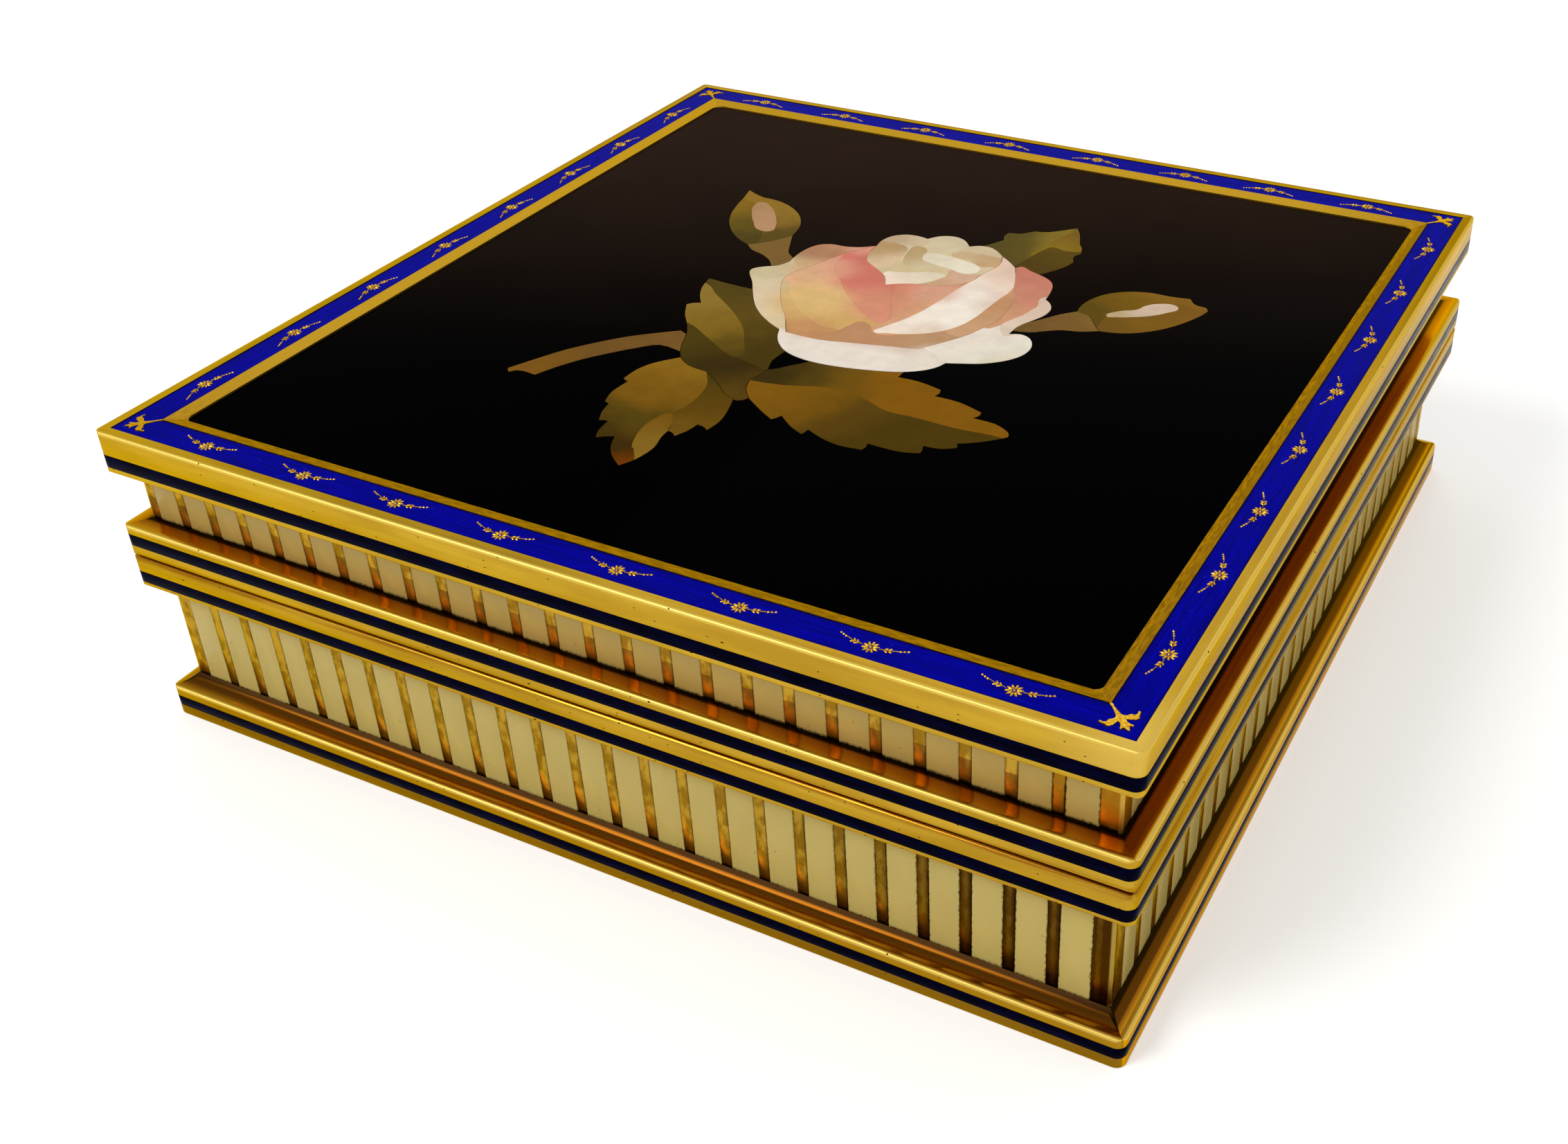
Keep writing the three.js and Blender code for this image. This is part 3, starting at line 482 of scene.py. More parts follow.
# Soft patches of colour that run on from stone to stone across the rose: where the middle is, in millimetres
# from the rose's own, how far each reaches, its colour and its strength
BLUSHES = (
    (-8.5, 5.0, 9.5, "#ca7463", 0.85), (-1.5, -4.0, 8.5, "#ce8a6d", 0.8), (-12.0, -8.0, 9.5, "#d7b373", 0.8),
    (-17.0, 2.5, 7.0, "#cfa77d", 0.75), (4.5, 3.5, 6.5, "#d59e86", 0.7), (-20.5, 8.5, 5.0, "#b18463", 0.6),
    (-13.5, 13.0, 4.5, "#d79d82", 0.6), (15.5, 3.0, 6.0, "#c28f6b", 0.35), (-7.0, -16.0, 5.0, "#c38d62", 0.6),
    (-13.5, 4.0, 5.5, "#dc9f82", 0.6), (10.0, -10.0, 5.0, "#bf9671", 0.25),
    (-20.0, -6.0, 5.0, "#d4bf9d", 0.6), (14.0, -17.0, 6.0, "#e4d8c6", 0.8),
)


def inlay_stone(name, codes, start, end, blushes):
    # Coloured marble or jasper cut where its own shading runs the right way, then polished flush
    stone = Finish(name, Specular_IOR_Level=0.004)
    start, end = (Vector((*on_panel(*point), 0)) for point in (start, end))
    run = (end - start) / (end - start).length_squared
    warp = stone.grain(stone.place, (0.12,) * 3, 2.0) * 0.5 - 0.25
    way = stone.measure("DOT_PRODUCT", stone.place, run) - start.dot(run) + warp
    shading = stone.ramp(way, [(i / (len(codes) - 1), code) for i, code in enumerate(codes)])
    shading.color_ramp.interpolation = "EASE"
    colour = shading.outputs[0]
    flat = stone.stretched(stone.place, (1, 1, 0))
    for x, y, reach, code, strength in blushes:
        away = stone.measure("DISTANCE", flat, (*on_panel(x, y), 0))
        colour = stone.blend(away.step(reach * 0.25, reach, strength, 0.0), colour, code)
    cloud = stone.grain(stone.place, (0.35,) * 3, 5.0, 0.6)
    veined = add(stone.tree, "HueSaturation", {"Color": colour, "Value": cloud.step(0.3, 0.75, 1.04, 0.92)})
    return stone.done(veined.outputs[0], cloud.step(0.3, 0.7, 0.18, 0.3))


def gold_foil(colours):
    # Stamped gold foil fired into the enamel: bright, with soft dents from the punch
    foil = Finish("gold_foil_stamped", **GILT)
    dents = foil.grain(foil.place, (2.5,) * 3)
    colour = foil.blend(dents.step(0.35, 0.65), "#e2b43a", "#b8861c")
    return foil.done(colour, dents.step(0.3, 0.7, 0.22, 0.36), (dents, 0.4, 0.05))


def mastic(colours):
    # Warm-coloured wax and rosin that the stones are set in, seen only as hairlines between them
    wax = Finish("pink_mastic", Roughness=0.5, Specular_IOR_Level=0.02)
    return wax.done(wax.blend(wax.grain(wax.place, (0.3,) * 3, 2.0), "#b48a6c", "#c8a587"))


def burnt_outline(colours):
    # A dark sheet a little larger than the foil, seen as a thin dark line round its edge on the blue
    flux = Finish("burnt_flux", Roughness=0.5, Specular_IOR_Level=0.1)
    return flux.done(flux.blend(flux.grain(flux.place, (2.0,) * 3, 2.0), "#1c0f08", "#2c1a10"))


# How the bars of a wall are spaced, in millimetres: the front's pitch, the other sides' pitch, and how far
# the middle of the front's row is off the middle of the box
Row = namedtuple("Row", "front_pitch pitch front_middle")
LID_ROW = Row(6.022, 5.978, -0.45)
BASE_ROW = Row(5.998, 5.922, -0.15)

# Where along the front the painted dark reflection on the bars, and the stronger painted shade on the enamel
# next to them, begins and from where on it is full
LID_AGED = (62.0, 68.0)
LID_CREAM_AGED = (66.0, 70.0)
BASE_AGED = (20.0, 62.0)

MAKERS = {
    "moulding": gilt_moulding,
    "inside": gilt_inside,
    "navy": navy_enamel,
    "cobalt": cobalt_enamel,
    "black": black_stone,
    "slate": slate,
    "foil": gold_foil,
    "outline": burnt_outline,
    "mastic": mastic,
    "lid_cream": lambda colours: cream_enamel(
        colours, "cream_enamel_of_the_lid", LID_ROW, 35.6, LID_CREAM_AGED),
    "base_cream": lambda colours: cream_enamel(
        colours, "cream_enamel_of_the_base", BASE_ROW, 6.5, BASE_AGED),
    "lid_bars": lambda colours: gilt_bars(
        colours, "gilt_bars_of_the_lid", LID_ROW, 39.4, 35.8, LID_AGED, "#946414"),
    "base_bars": lambda colours: gilt_bars(
        colours, "gilt_bars_of_the_base", BASE_ROW, 7.0, 6.9, BASE_AGED, "#402408"),
}
finished = {}


def finish_of(context, key):
    """The material of that key, made when it is first asked for."""
    if key not in finished:
        finished[key] = MAKERS[key](context.scene.mosaic_box_colours)
    return finished[key]


# Modelling helpers

# Edges with a larger angle than this are rounded. Vertices nearer than the first distance to a mitre's plane
# are moved onto it, and edges within the second lie on it
SHARP = math.radians(40.0)
MITRE_REACH = 0.05 * MM
ON_MITRE = 0.01 * MM


def only(*pieces):
    """Selects these objects and nothing else."""
    bpy.ops.object.select_all(action="DESELECT")
    for piece in pieces:
        piece.select_set(True)
    bpy.context.view_layer.objects.active = pieces[0]


def merged_copy(node, name):
    """A copy of a CAD node with its loose triangles merged and its flat faces joined."""
    only(frame["nodes"][node])
    bpy.ops.object.duplicate()
    piece = bpy.context.object
    piece.name = name
    piece.data.name = name
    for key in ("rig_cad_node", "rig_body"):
        if key in piece:
            del piece[key]
    bpy.ops.mesh.customdata_custom_splitnormals_clear()
    bpy.ops.object.mode_set(mode="EDIT")
    bpy.ops.mesh.select_all(action="SELECT")
    bpy.ops.mesh.remove_doubles(threshold=1e-6)
    bpy.ops.mesh.dissolve_limited(angle_limit=math.radians(0.5))
    bpy.ops.object.mode_set(mode="OBJECT")
    return piece


def cut(piece, operation, cutter):
    """Cuts a piece with another by a Boolean modifier and applies it."""
    only(piece)
    bpy.ops.object.modifier_add(type="BOOLEAN")
    modifier = piece.modifiers[-1]
    modifier.operation = operation
    modifier.object = cutter
    modifier.solver = "EXACT"
    bpy.ops.object.modifier_apply(modifier=modifier.name)


def off_mitre(place):
    """How far a place is from the upright planes that the mitres of the mouldings lie in."""
    return abs(abs(place.x) - abs(place.y))


def soften(piece, width, segments=2):
    """Rounds the sharp edges and shades smooth, except where two lengths are soldered at a mitre."""
    for vertex in piece.data.vertices:
        if off_mitre(vertex.co) < MITRE_REACH:
            reach = (abs(vertex.co.x) + abs(vertex.co.y)) / 2
            vertex.co.x, vertex.co.y = (math.copysign(reach, c) for c in vertex.co[:2])
    only(piece)
    bpy.ops.object.mode_set(mode="EDIT")
    bpy.ops.mesh.select_mode(type="EDGE")
    bpy.ops.mesh.select_all(action="DESELECT")
    bpy.ops.mesh.edges_select_sharp(sharpness=SHARP)
    bpy.ops.object.mode_set(mode="OBJECT")
    places = [vertex.co for vertex in piece.data.vertices]
    sharp = [edge.index for edge in piece.data.edges
             if edge.select and max(off_mitre(places[i]) for i in edge.vertices) >= ON_MITRE]
    for kind in (piece.data.vertices, piece.data.edges, piece.data.polygons):
        kind.foreach_set("select", [False] * len(kind))
    for index in sharp:
        piece.data.edges[index].select = True
    bpy.ops.object.mode_set(mode="EDIT")
    bpy.ops.mesh.bevel(offset=width, segments=segments, affect="EDGES", clamp_overlap=True)
    bpy.ops.mesh.select_mode(type="VERT")
    bpy.ops.object.mode_set(mode="OBJECT")
    bpy.ops.object.shade_smooth_by_angle(angle=SHARP)


def hand_over(piece, material, body, slot, *nodes):
    """Gives a finished piece its material and body, and hides the CAD nodes that it stands for. The slot is
    not used.
    """
    piece.data.materials.clear()
    piece.data.materials.append(material)
    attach(piece, body)
    if nodes:
        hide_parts(*nodes)


def dress(context, node, key, body, slot, rounding=True):
    """A dressed copy of one CAD node, which takes the node's place."""
    piece = merged_copy(node, node + "_dressed")
    if rounding:
        soften(piece, context.scene.mosaic_box_sizes.edge_round)
    else:
        only(piece)
        bpy.ops.object.shade_smooth_by_angle(angle=SHARP)
    hand_over(piece, finish_of(context, key), body, slot, node)
    return piece


def outline_solid(name, points, low, high, corners="AUTO"):
    """A closed solid between two heights with a smooth outline through these points, or a straight one."""
    bpy.ops.object.select_all(action="DESELECT")
    bpy.ops.curve.primitive_bezier_circle_add(location=(0, 0, (low + high) / 2 * MM))
    curve = bpy.context.object
    curve.name = name
    data = curve.data
    data.dimensions, data.fill_mode, data.resolution_u = "2D", "BOTH", 5
    data.extrude = (high - low) / 2 * MM
    spline = data.splines[0]
    spline.bezier_points.add(len(points) - len(spline.bezier_points))
    for knot, (x, y) in zip(spline.bezier_points, points):
        knot.handle_left_type = knot.handle_right_type = corners
        knot.co = (x * MM, y * MM, 0)
    spline.use_cyclic_u = True
    bpy.ops.object.convert(target="MESH")
    solid = bpy.context.object
    bpy.ops.object.transform_apply(location=True, rotation=True, scale=True)
    bpy.ops.object.mode_set(mode="EDIT")
    bpy.ops.mesh.select_all(action="SELECT")
    bpy.ops.mesh.remove_doubles(threshold=1e-6)
    bpy.ops.mesh.normals_make_consistent(inside=False)
    bpy.ops.object.mode_set(mode="OBJECT")
    return solid


# The stones of the spray

# One entry for each inlaid CAD node: its record slot and its stones in the order in which they are cut. A
# stone is its name, its colours, where its shading starts, where it ends and its outline, in millimetres from
# the rose's middle. The last stone of a node takes what is left. One without colours is of the black stone.
STONES = {
    "rose_heart": ("pale_stone", [
        ("heart_pale_curl", ("#dacdb1", "#e7dcc5"), (-3, 14), (6, 13), [
            (-3.2, 14.2), (-3, 15.6), (-0.5, 16.1), (2, 15.9), (4.4, 15.3), (6.6, 14.6), (7.4, 13.4),
            (7.1, 12), (5.6, 11.1), (3, 11.7), (0.6, 12), (-1, 12.4), (-2.6, 13)]),
        ("heart_tongue", ("#ead6bf", "#d9ccae"), (-4, 3), (2, 9), [
            (-5.9, 6.4), (-4, 7.2), (-2, 8), (-0.4, 9), (1.6, 9.6), (3.4, 9.2), (3.1, 7.8), (2.2, 6.2),
            (0.9, 4.8), (-0.6, 3.8), (-3.8, 1.6), (-5.6, 4.4)]),
        ("heart_green_shade", ("#b69b6d", "#d0be9b"), (-5, 15), (0, 11), [
            (-6, 17.2), (-3.8, 16.8), (-3.3, 14.2), (-2.6, 12.9), (-1, 12.3), (0.4, 11.4), (-0.8, 10.2),
            (-3, 9.8), (-4.8, 10.4), (-5.8, 12.6), (-6.3, 15)]),
        ("heart_blush", ("#c49d7a", "#d0a88c"), (3, 6), (7, 10), [
            (3.2, 11.4), (5.6, 11), (7.4, 11.6), (9.4, 12), (10, 9), (8.6, 5.6), (5, 3.4), (0.6, 3.6),
            (1, 5), (2.2, 6.2), (3.1, 7.8), (3.5, 9.4)]),
        ("heart_left_curl", ("#b29265", "#d6bb97"), (-11, 14), (-7, 9), [
            (-13, 15), (-12, 11.8), (-11, 8.8), (-9.4, 7.6), (-7.4, 7.3), (-6.3, 8.6), (-6.2, 11),
            (-6.4, 14), (-7.2, 16.2), (-9.4, 16.8), (-12, 16.4)]),
        ("heart_back_band", ("#c6ab83", "#c09e73"), (2, 17), (8, 17), [
            (0.8, 16.6), (1.6, 18.3), (5, 18.9), (8.2, 18.9), (11, 18.4), (11, 15.4), (8.6, 15.2),
            (7.2, 14.6), (4.4, 15.9)]),
        ("heart_rim_left", ("#b99f80", "#c7b38f"), (-11, 19), (-6, 19), [
            (-14, 17), (-8.4, 16.9), (-5.6, 17.4), (-4.6, 19), (-5.6, 21), (-5.4, 26), (-14, 24)]),
        ("heart_rim_right", ("#cbb592", "#cbb995"), (2, 20), (8, 19), [
            (1.2, 26), (2, 20.6), (1.2, 18.4), (2, 17.4), (6, 18.6), (12, 18), (12, 26)]),
        ("heart_ivory", ("#cdb98d", "#d2bf99", "#cdbc9a"), (-3, 8), (-1, 21), None),
    ]),
    "rose_inner_petals": ("pink_stone", [
        ("crescent_white", ("#dfc1aa", "#eee3d4", "#ebdbc8"), (9, 15), (6, -11), [
            (9.6, 19.6), (12.6, 17.4), (14.4, 13), (15, 9), (14.6, 4.8), (14.3, 1.2), (13.9, -2.6),
            (12.8, -6.3), (10.5, -9.3), (7.4, -11.4), (4.6, -12.4), (2.2, -12.9), (2.6, -11.4), (4.2, -8),
            (5.4, -4.6), (6.2, -1), (6.8, 3), (7.3, 6), (8, 10), (8, 16)]),
        ("coral_petal", ("#cc7267", "#d27c6c", "#d68e72"), (-7, 4), (-9, -4), [
            (-16, 14), (-15.2, 9.6), (-14.9, 7), (-14, 4), (-11.4, 1), (-9, -2), (-6, -5), (-3, -7.6),
            (-0.4, -9.4), (1.6, -10.2), (2.4, -8.8), (1.6, -6), (0, -3), (-1.2, -0.2), (-2, 1.6), (-3, 3.4),
            (-4, 5), (-8, 9), (-12, 14)]),
        ("salmon_petal", ("#cb7f62", "#cf9973", "#cf9d76"), (-1, 2), (6, -5), [
            (-4, 3.6), (-2, 1.6), (-1.2, -0.2), (0, -3), (1.6, -6), (2.4, -8.8), (1.6, -10.2), (2.4, -13.2),
            (7, -11), (9, 4), (9, 14), (2, 8)]),
        ("band_right", ("#ca9570", "#b98a5e", "#c79b74"), (15.5, 11), (15, -6), [
            (13, 20), (13.4, 16), (14.6, 12), (15.2, 9), (14.7, 4.8), (14.4, 1.2), (14, -2.6), (12.9, -6.3),
            (11.8, -8), (15, -9), (19, -9), (20, 10)]),
        ("band_bottom", ("#ba8958", "#b88862", "#b68d67"), (-8, -18), (11, -10), [
            (20, -7.6), (12, -7.6), (10.5, -9.4), (7.4, -11.5), (4.6, -12.5), (2.2, -13), (0.8, -11.4),
            (-1, -10.8), (-2.2, -13), (-3, -15.5), (-6, -16.8), (-9, -17.6), (-11.6, -18), (-12, -22),
            (14, -20)]),
        ("amber_band", ("#c7a669", "#c3905c", "#c39058"), (-17, -4), (-5, -17), [
            (-20, -4), (-18.4, -3.6), (-16.4, -6.6), (-14.4, -9), (-12, -11.2), (-9, -13.2), (-6, -14.7),
            (-2.6, -15.2), (-3, -15.7), (-6, -17), (-9, -17.8), (-11.6, -18.4), (-14, -22), (-22, -10)]),
        ("yellow_petal", ("#d18d79", "#e0a983", "#d6ad76", "#cea463"), (-13, 7), (-8, -13), None),
    ]),
    "rose_outer_petals": ("white_stone", [
        ("thin_right_petal", ("#d3b8a4", "#d8c4ad"), (22, 5), (20, -4), [
            (20.8, 9), (25, 8), (25, 0), (22, -4.4), (20.6, -5.4), (19.6, -4.6), (18.6, -2.6), (19.2, -0.6),
            (20.2, 1.8), (21, 4.8)]),
        ("coral_right_petal", ("#c37b66", "#c5836b", "#cb9470"), (14.5, 14), (18, -1), [
            (10, 20), (23, 19), (23, 9), (21, 5), (20.2, 1.8), (19.2, -0.6), (18.4, -3), (16.8, -4.6),
            (15, 4), (12, 12)]),
        ("lower_right_petal", ("#e3d5c6", "#e0d8c6", "#d6c9b0"), (16, -10), (22, -16), [
            (16.8, -4.6), (18.6, -2.9), (19.6, -4.7), (20.8, -5.6), (22, -3.6), (28, -3), (28, -14),
            (19, -19), (16.2, -17.4), (14, -15.6), (11.6, -14.4), (11.6, -12)]),
        ("bottom_petal", ("#cdb3a0", "#d7c4b5", "#e4d8ca"), (4, -14.5), (4, -19), [
            (11, -13), (14, -15.6), (16.2, -17.4), (19, -19), (17, -28), (-13, -28), (-11.2, -18.2),
            (-9.4, -18), (-4, -17), (4, -15)]),
        ("tan_left_petal", ("#b9a078", "#9d6b49", "#b98563"), (-20, 2.6), (-16, 11.6), [
            (-24, 15), (-22.8, 6.6), (-21.4, 3.8), (-19.4, 2.2), (-17.4, 3.2), (-15.4, 8), (-11, 13),
            (-12, 17)]),
        ("ivory_left_petal", ("#c6b790", "#d6c1a1", "#d9c39c"), (-21, 2), (-11, -17), None),
    ]),
    "bud_left": ("ochre_stone", [
        ("bud_left_pink_tip", ("#ab835b", "#b48a64"), (-38, 21), (-33, 13), [
            (-38.8, 22), (-36, 20.8), (-33.2, 17.6), (-31.3, 14.4), (-30.9, 12.2), (-33, 11.7),
            (-35.6, 14.2), (-37.9, 17.4), (-39.2, 20.4)]),
        ("bud_left_olive", ("#816218", "#5f4e15", "#4c3f15"), (-41, 19), (-33, 8), [
            (-47, 25), (-41.6, 21.6), (-38.6, 20.6), (-36.8, 17), (-34.8, 14.4), (-32.8, 12.2), (-31.2, 9),
            (-31, 3), (-40, 4), (-48, 18)]),
        ("bud_left_ochre", ("#8c6a22", "#8d6c25", "#5a4719"), (-38, 23), (-29, 12), None),
    ]),
    "bud_right": ("ochre_stone", [
        ("bud_right_white_tip", ("#b99f77", "#cbb49a", "#cbb198"), (33, 8), (39.5, 14), [
            (31.8, 7), (33, 9.4), (35.2, 11), (35.9, 12.7), (37.6, 14.4), (40, 14.9), (40.9, 13.9),
            (39.8, 12), (38, 10), (35.6, 8.4), (33.4, 7.3)]),
        ("bud_right_olive", ("#5b4710", "#725411", "#815c1b"), (28, 8), (38, 17), [
            (25, 4), (31, 1), (31.8, 6.8), (32.8, 9.4), (35, 11.2), (35.8, 13), (37.4, 14.8), (40.4, 15.3),
            (46, 16.6), (42, 21), (26, 19)]),
        ("bud_right_ochre", ("#6d5017", "#795616", "#7a551a"), (33, 4), (43, 12), None),
    ]),
    "bud_left_calyx": ("tan_stone", [
        ("calyx_left_tan", ("#765b2a", "#7a5b2b", "#775c30"), (-29, 8), (-22, 1), None),
    ]),
    "bud_right_calyx": ("tan_stone", [
        ("calyx_right_tan", ("#6d5127", "#755428", "#7a5b28"), (22, -3), (30, 5), None),
    ]),
    "leaf_left": ("olive_stone", [
        ("leaf_left_bright_lobes", ("#8a6e2a", "#7c601b", "#503f0e"), (-26, -14), (-13, -28), [
            (-33, -9.6), (-29.8, -9.6), (-26, -12.4), (-22, -15.2), (-19, -17.6), (-16, -20.6),
            (-13.6, -24.2), (-11.8, -28.6), (-14.4, -28.2), (-17, -26.8), (-20, -25), (-24.6, -22.6),
            (-33, -22)]),
        ("leaf_left_upper_half", ("#514112", "#5a4612", "#46360a"), (-28, -9), (-9, -27), [
            (-34, -9.6), (-29.8, -9.6), (-26, -12.4), (-22, -15.2), (-19, -17.6), (-16, -20.6),
            (-13.6, -24.2), (-11.8, -28.6), (-9, -29.6), (-4, -30), (-4, -20), (-18, -4), (-34, -4)]),
        ("leaf_left_base", ("#493a0a", "#372907", "#543d0c"), (-21, -27), (-5.5, -39), None),
    ]),
    "leaf_lower_left": ("ochre_stone", [
        ("leaf_lower_left_tip", ("#472b01", "#673402"), (-12, -58), (-10, -61), [
            (-11.2, -57), (-12.4, -58.8), (-14, -62), (-11, -64), (-8, -62), (-9, -59.4), (-9.9, -58.2)]),
        ("leaf_lower_left_bright_lobe", ("#73500f", "#7e5f1a", "#82621e"), (-11.4, -48), (-9, -58), [
            (-11.4, -47), (-12.8, -49.6), (-12.8, -52), (-12.2, -54.6), (-11, -57.2), (-9.6, -59.2),
            (-8, -62), (-5, -58), (-6.6, -52), (-9.2, -51.2), (-9.6, -49.6), (-10.4, -48)]),
        ("leaf_lower_left_right_half", ("#483809", "#594008", "#6b4c0f"), (-11, -36), (-6, -49), [
            (-13.8, -33), (-13.2, -35), (-11.6, -37.4), (-10.8, -40), (-10.6, -44), (-11, -47.2),
            (-10.4, -48.6), (-9.4, -50), (-9.1, -52), (-6, -54), (-1, -48), (-3, -36), (-8, -31)]),
        ("leaf_lower_left_left_half", ("#866116", "#79550f", "#53400b", "#3d2906"),
         (-17, -34), (-16, -57), None),
    ]),
    "leaf_lower_right": ("olive_stone", [
        ("dark_wedge", None, None, None, [
            (-9, -31), (-9, -22), (-1, -21), (-1.4, -24.6), (-2, -25.8), (-3.6, -27.7), (-5.6, -29.9)]),
        ("leaf_lower_right_upper_half", ("#3a2c07", "#4e3b0b", "#6b4c0c", "#7f540a"), (-4, -31), (12, -26), [
            (-12, -34.2), (-6.6, -34), (-3, -33.5), (0, -32.7), (3, -31.5), (6, -30.9), (9, -31.1),
            (12, -32.1), (15, -33.3), (20, -33.3), (26, -33.5), (31, -33.1), (37, -32.4), (37, -17),
            (-12, -17)]),
        ("leaf_lower_right_lower_half", ("#7c540c", "#714e0a", "#563e0a", "#4a3707"),
         (0, -33), (17, -41), None),
    ]),
    "leaf_top": ("olive_stone", [
        ("leaf_top_dark_base", ("#523d0e", "#584510"), (15, 18), (17, 26), [
            (10.6, 13), (12, 18), (12.8, 22), (13.6, 25), (14.4, 26.4), (16.6, 26), (22, 26.4), (22, 14)]),
        ("leaf_top_right_half", ("#806618", "#76591d"), (15, 27), (16.6, 33), [
            (12.8, 22), (13.2, 26), (14, 30), (14.9, 33), (15.4, 37), (22, 34), (22, 26.4), (16.6, 26),
            (14.4, 26.4), (13.6, 24.6)]),
        ("leaf_top_left_half", ("#56491d", "#5b4d1a", "#7d6823"), (6, 26), (13.4, 28), None),
    ]),
    "stem": ("tan_stone", [
        ("stem_tan", ("#735223", "#6d4d1e", "#785116"), (-24, -27), (-38, -45), None),
    ]),
}


MASTIC_OUTLINE = [
    (-22, -3), (-20.5, 4), (-18.5, 9), (-12.5, 12), (-10, 18), (-2, 20.5), (6, 19), (12, 15.5), (18, 11.5),
    (19.6, 5), (19.4, -2), (21.5, -8), (15, -13.5), (10, -18), (0, -21.5), (-7, -20), (-12, -15), (-17, -10),
]


def cut_stones(context, node):
    """Cuts the copy of one inlaid CAD node into its single stones and gives each one its own marble."""
    slot, stones = STONES[node]
    rounding = context.scene.mosaic_box_sizes.stone_round
    rest = merged_copy(node, "uncut_" + node)
    for count, (name, codes, start, end, outline) in enumerate(stones):
        if outline is None:
            stone = rest
            stone.name = stone.data.name = name
        else:
            outline = [on_panel(x, y) for x, y in outline]
            cutter = outline_solid("cutter", outline, STONE_LOW - 1, STONE_TOP + 1)
            only(rest)
            bpy.ops.object.duplicate()
            stone = bpy.context.object
            stone.name = stone.data.name = name
            cut(stone, "INTERSECT", cutter)
            cut(rest, "DIFFERENCE", cutter)
            only(cutter)
            bpy.ops.object.delete()
        if not stone.data.polygons:
            raise RuntimeError(name + " has nothing left of it")
        soften(stone, rounding, segments=1)
        if codes is None:
            marble = finish_of(context, "black")
        else:
            blushes = BLUSHES if "petals" in node else ()
            marble = inlay_stone("marble_" + name, codes, start, end, blushes)
        hand_over(stone, marble, "lid", slot, *((node,) if count == 0 else ()))


# Foil

def sliver(x, y, long, wide, turn, low, rise):
    """Adds one crowned drop of foil to the mesh in edit mode: long, wide and turned about its middle."""
    bpy.ops.mesh.select_all(action="DESELECT")
    bpy.ops.mesh.primitive_circle_add(
        vertices=10, radius=0.5 * MM, fill_type="NGON", location=(0, 0, low * MM))
    bpy.ops.transform.resize(value=(long, wide, 1))
    bpy.ops.transform.rotate(value=-turn, orient_axis="Z", center_override=(0, 0, low * MM))
    bpy.ops.transform.translate(value=(x * MM, y * MM, 0))
    bpy.ops.mesh.extrude_region_move(TRANSFORM_OT_translate={"value": (0, 0, rise * 0.4 * MM)})
    bpy.ops.mesh.extrude_region_move(TRANSFORM_OT_translate={"value": (0, 0, rise * 0.6 * MM)})
    bpy.ops.transform.resize(value=(0.55, 0.55, 1.0))


def foil_mesh(name, shapes, low, rise, grow):
    """A mesh of foil drops, each enlarged by grow on every side."""
    bpy.ops.object.select_all(action="DESELECT")
    bpy.ops.mesh.primitive_circle_add(fill_type="NGON")
    piece = bpy.context.object
    piece.name = piece.data.name = name
    bpy.ops.object.mode_set(mode="EDIT")
    bpy.ops.mesh.delete(type="VERT")
    for x, y, long, wide, turn in shapes:
        sliver(x, y, long + 2 * grow, wide + 2 * grow, turn, low, rise)
    bpy.ops.mesh.select_all(action="SELECT")
    bpy.ops.mesh.normals_make_consistent(inside=False)
    bpy.ops.object.mode_set(mode="OBJECT")
    return piece


def garland_shapes(span):
    """The drops of one garland: a daisy, then at each side a stem with four leaflets and three beads."""
    sag, middle = 1.15, -0.15
    shapes = [(0, middle, 0.34, 0.34, 0)]
    for petal in range(10):
        turn = math.tau * (petal + 0.5) / 10
        shapes.append((0.7 * math.cos(turn), middle + 0.7 * math.sin(turn), 0.86, 0.32, turn))

    def hang(place, off, long, wide, spread=0.0):
        x = place * span
        lean = math.atan(8 * sag * x / span ** 2)
        shapes.append((x - off * math.sin(lean), middle + sag * (2 * place) ** 2 + off * math.cos(lean),
                       long, wide, lean + spread))

    for side in (-1, 1):
        for place, long in ((0.152, 0.75), (0.235, 1.3), (0.331, 1.0)):
            hang(side * place, 0.0, long, 0.1)
        for place in (0.208, 0.262):
            for off in (-0.23, 0.23):
                hang(side * place, off, 0.58, 0.25, side * math.copysign(0.65, off))
        for place in (0.391, 0.436, 0.482):
            hang(side * place, 0.0, 0.36, 0.28)
    return shapes


# Half of a corner sprig: up its stem from the bezel, round one side leaf and to the tip of the middle one
HALF_SPRIG = [
    (0.07, -0.1), (0.14, 0.8), (0.25, 1.7), (0.42, 2.35), (0.85, 2.58), (1.35, 2.54), (1.72, 2.78),
    (2.1, 2.68), (2.43, 2.36), (2.3, 2.85), (2.08, 3.1), (1.95, 3.48), (1.45, 3.58), (0.9, 3.36),
    (0.5, 3.22), (0.44, 3.6), (0.6, 4.05), (0.8, 4.52), (0.42, 4.38), (0.22, 4.7), (0.0, 5.08),
]
SPRIG_OUTLINE = HALF_SPRIG + [(-x, y) for x, y in reversed(HALF_SPRIG[:-1])]
SPRIG_MIDDLE = 3.0

# Middles of the garlands along a side, in hundredths of the plan
GARLAND_PLACES = (11.3, 22.5, 32.6, 43.5, 54.9, 66.2, 77.5, 89.1)


# Operators

class MOSAICBOX_OT_mouldings(bpy.types.Operator):
    """Dress the foot, rim, flange and top mouldings in burnished gilding"""
    bl_idname = "mosaic_box.mouldings"
    bl_label = "Gilt mouldings"

    def execute(self, context):
        for group, body in (("foot_rail", "base"), ("rim_rail", "base"), ("lid_flange_rail", "lid"),
                            ("lid_top_rail", "lid")):
            for side in SIDES:
                dress(context, f"{group}_{side}", "moulding", body, "bright_gilt")
        return {"FINISHED"}


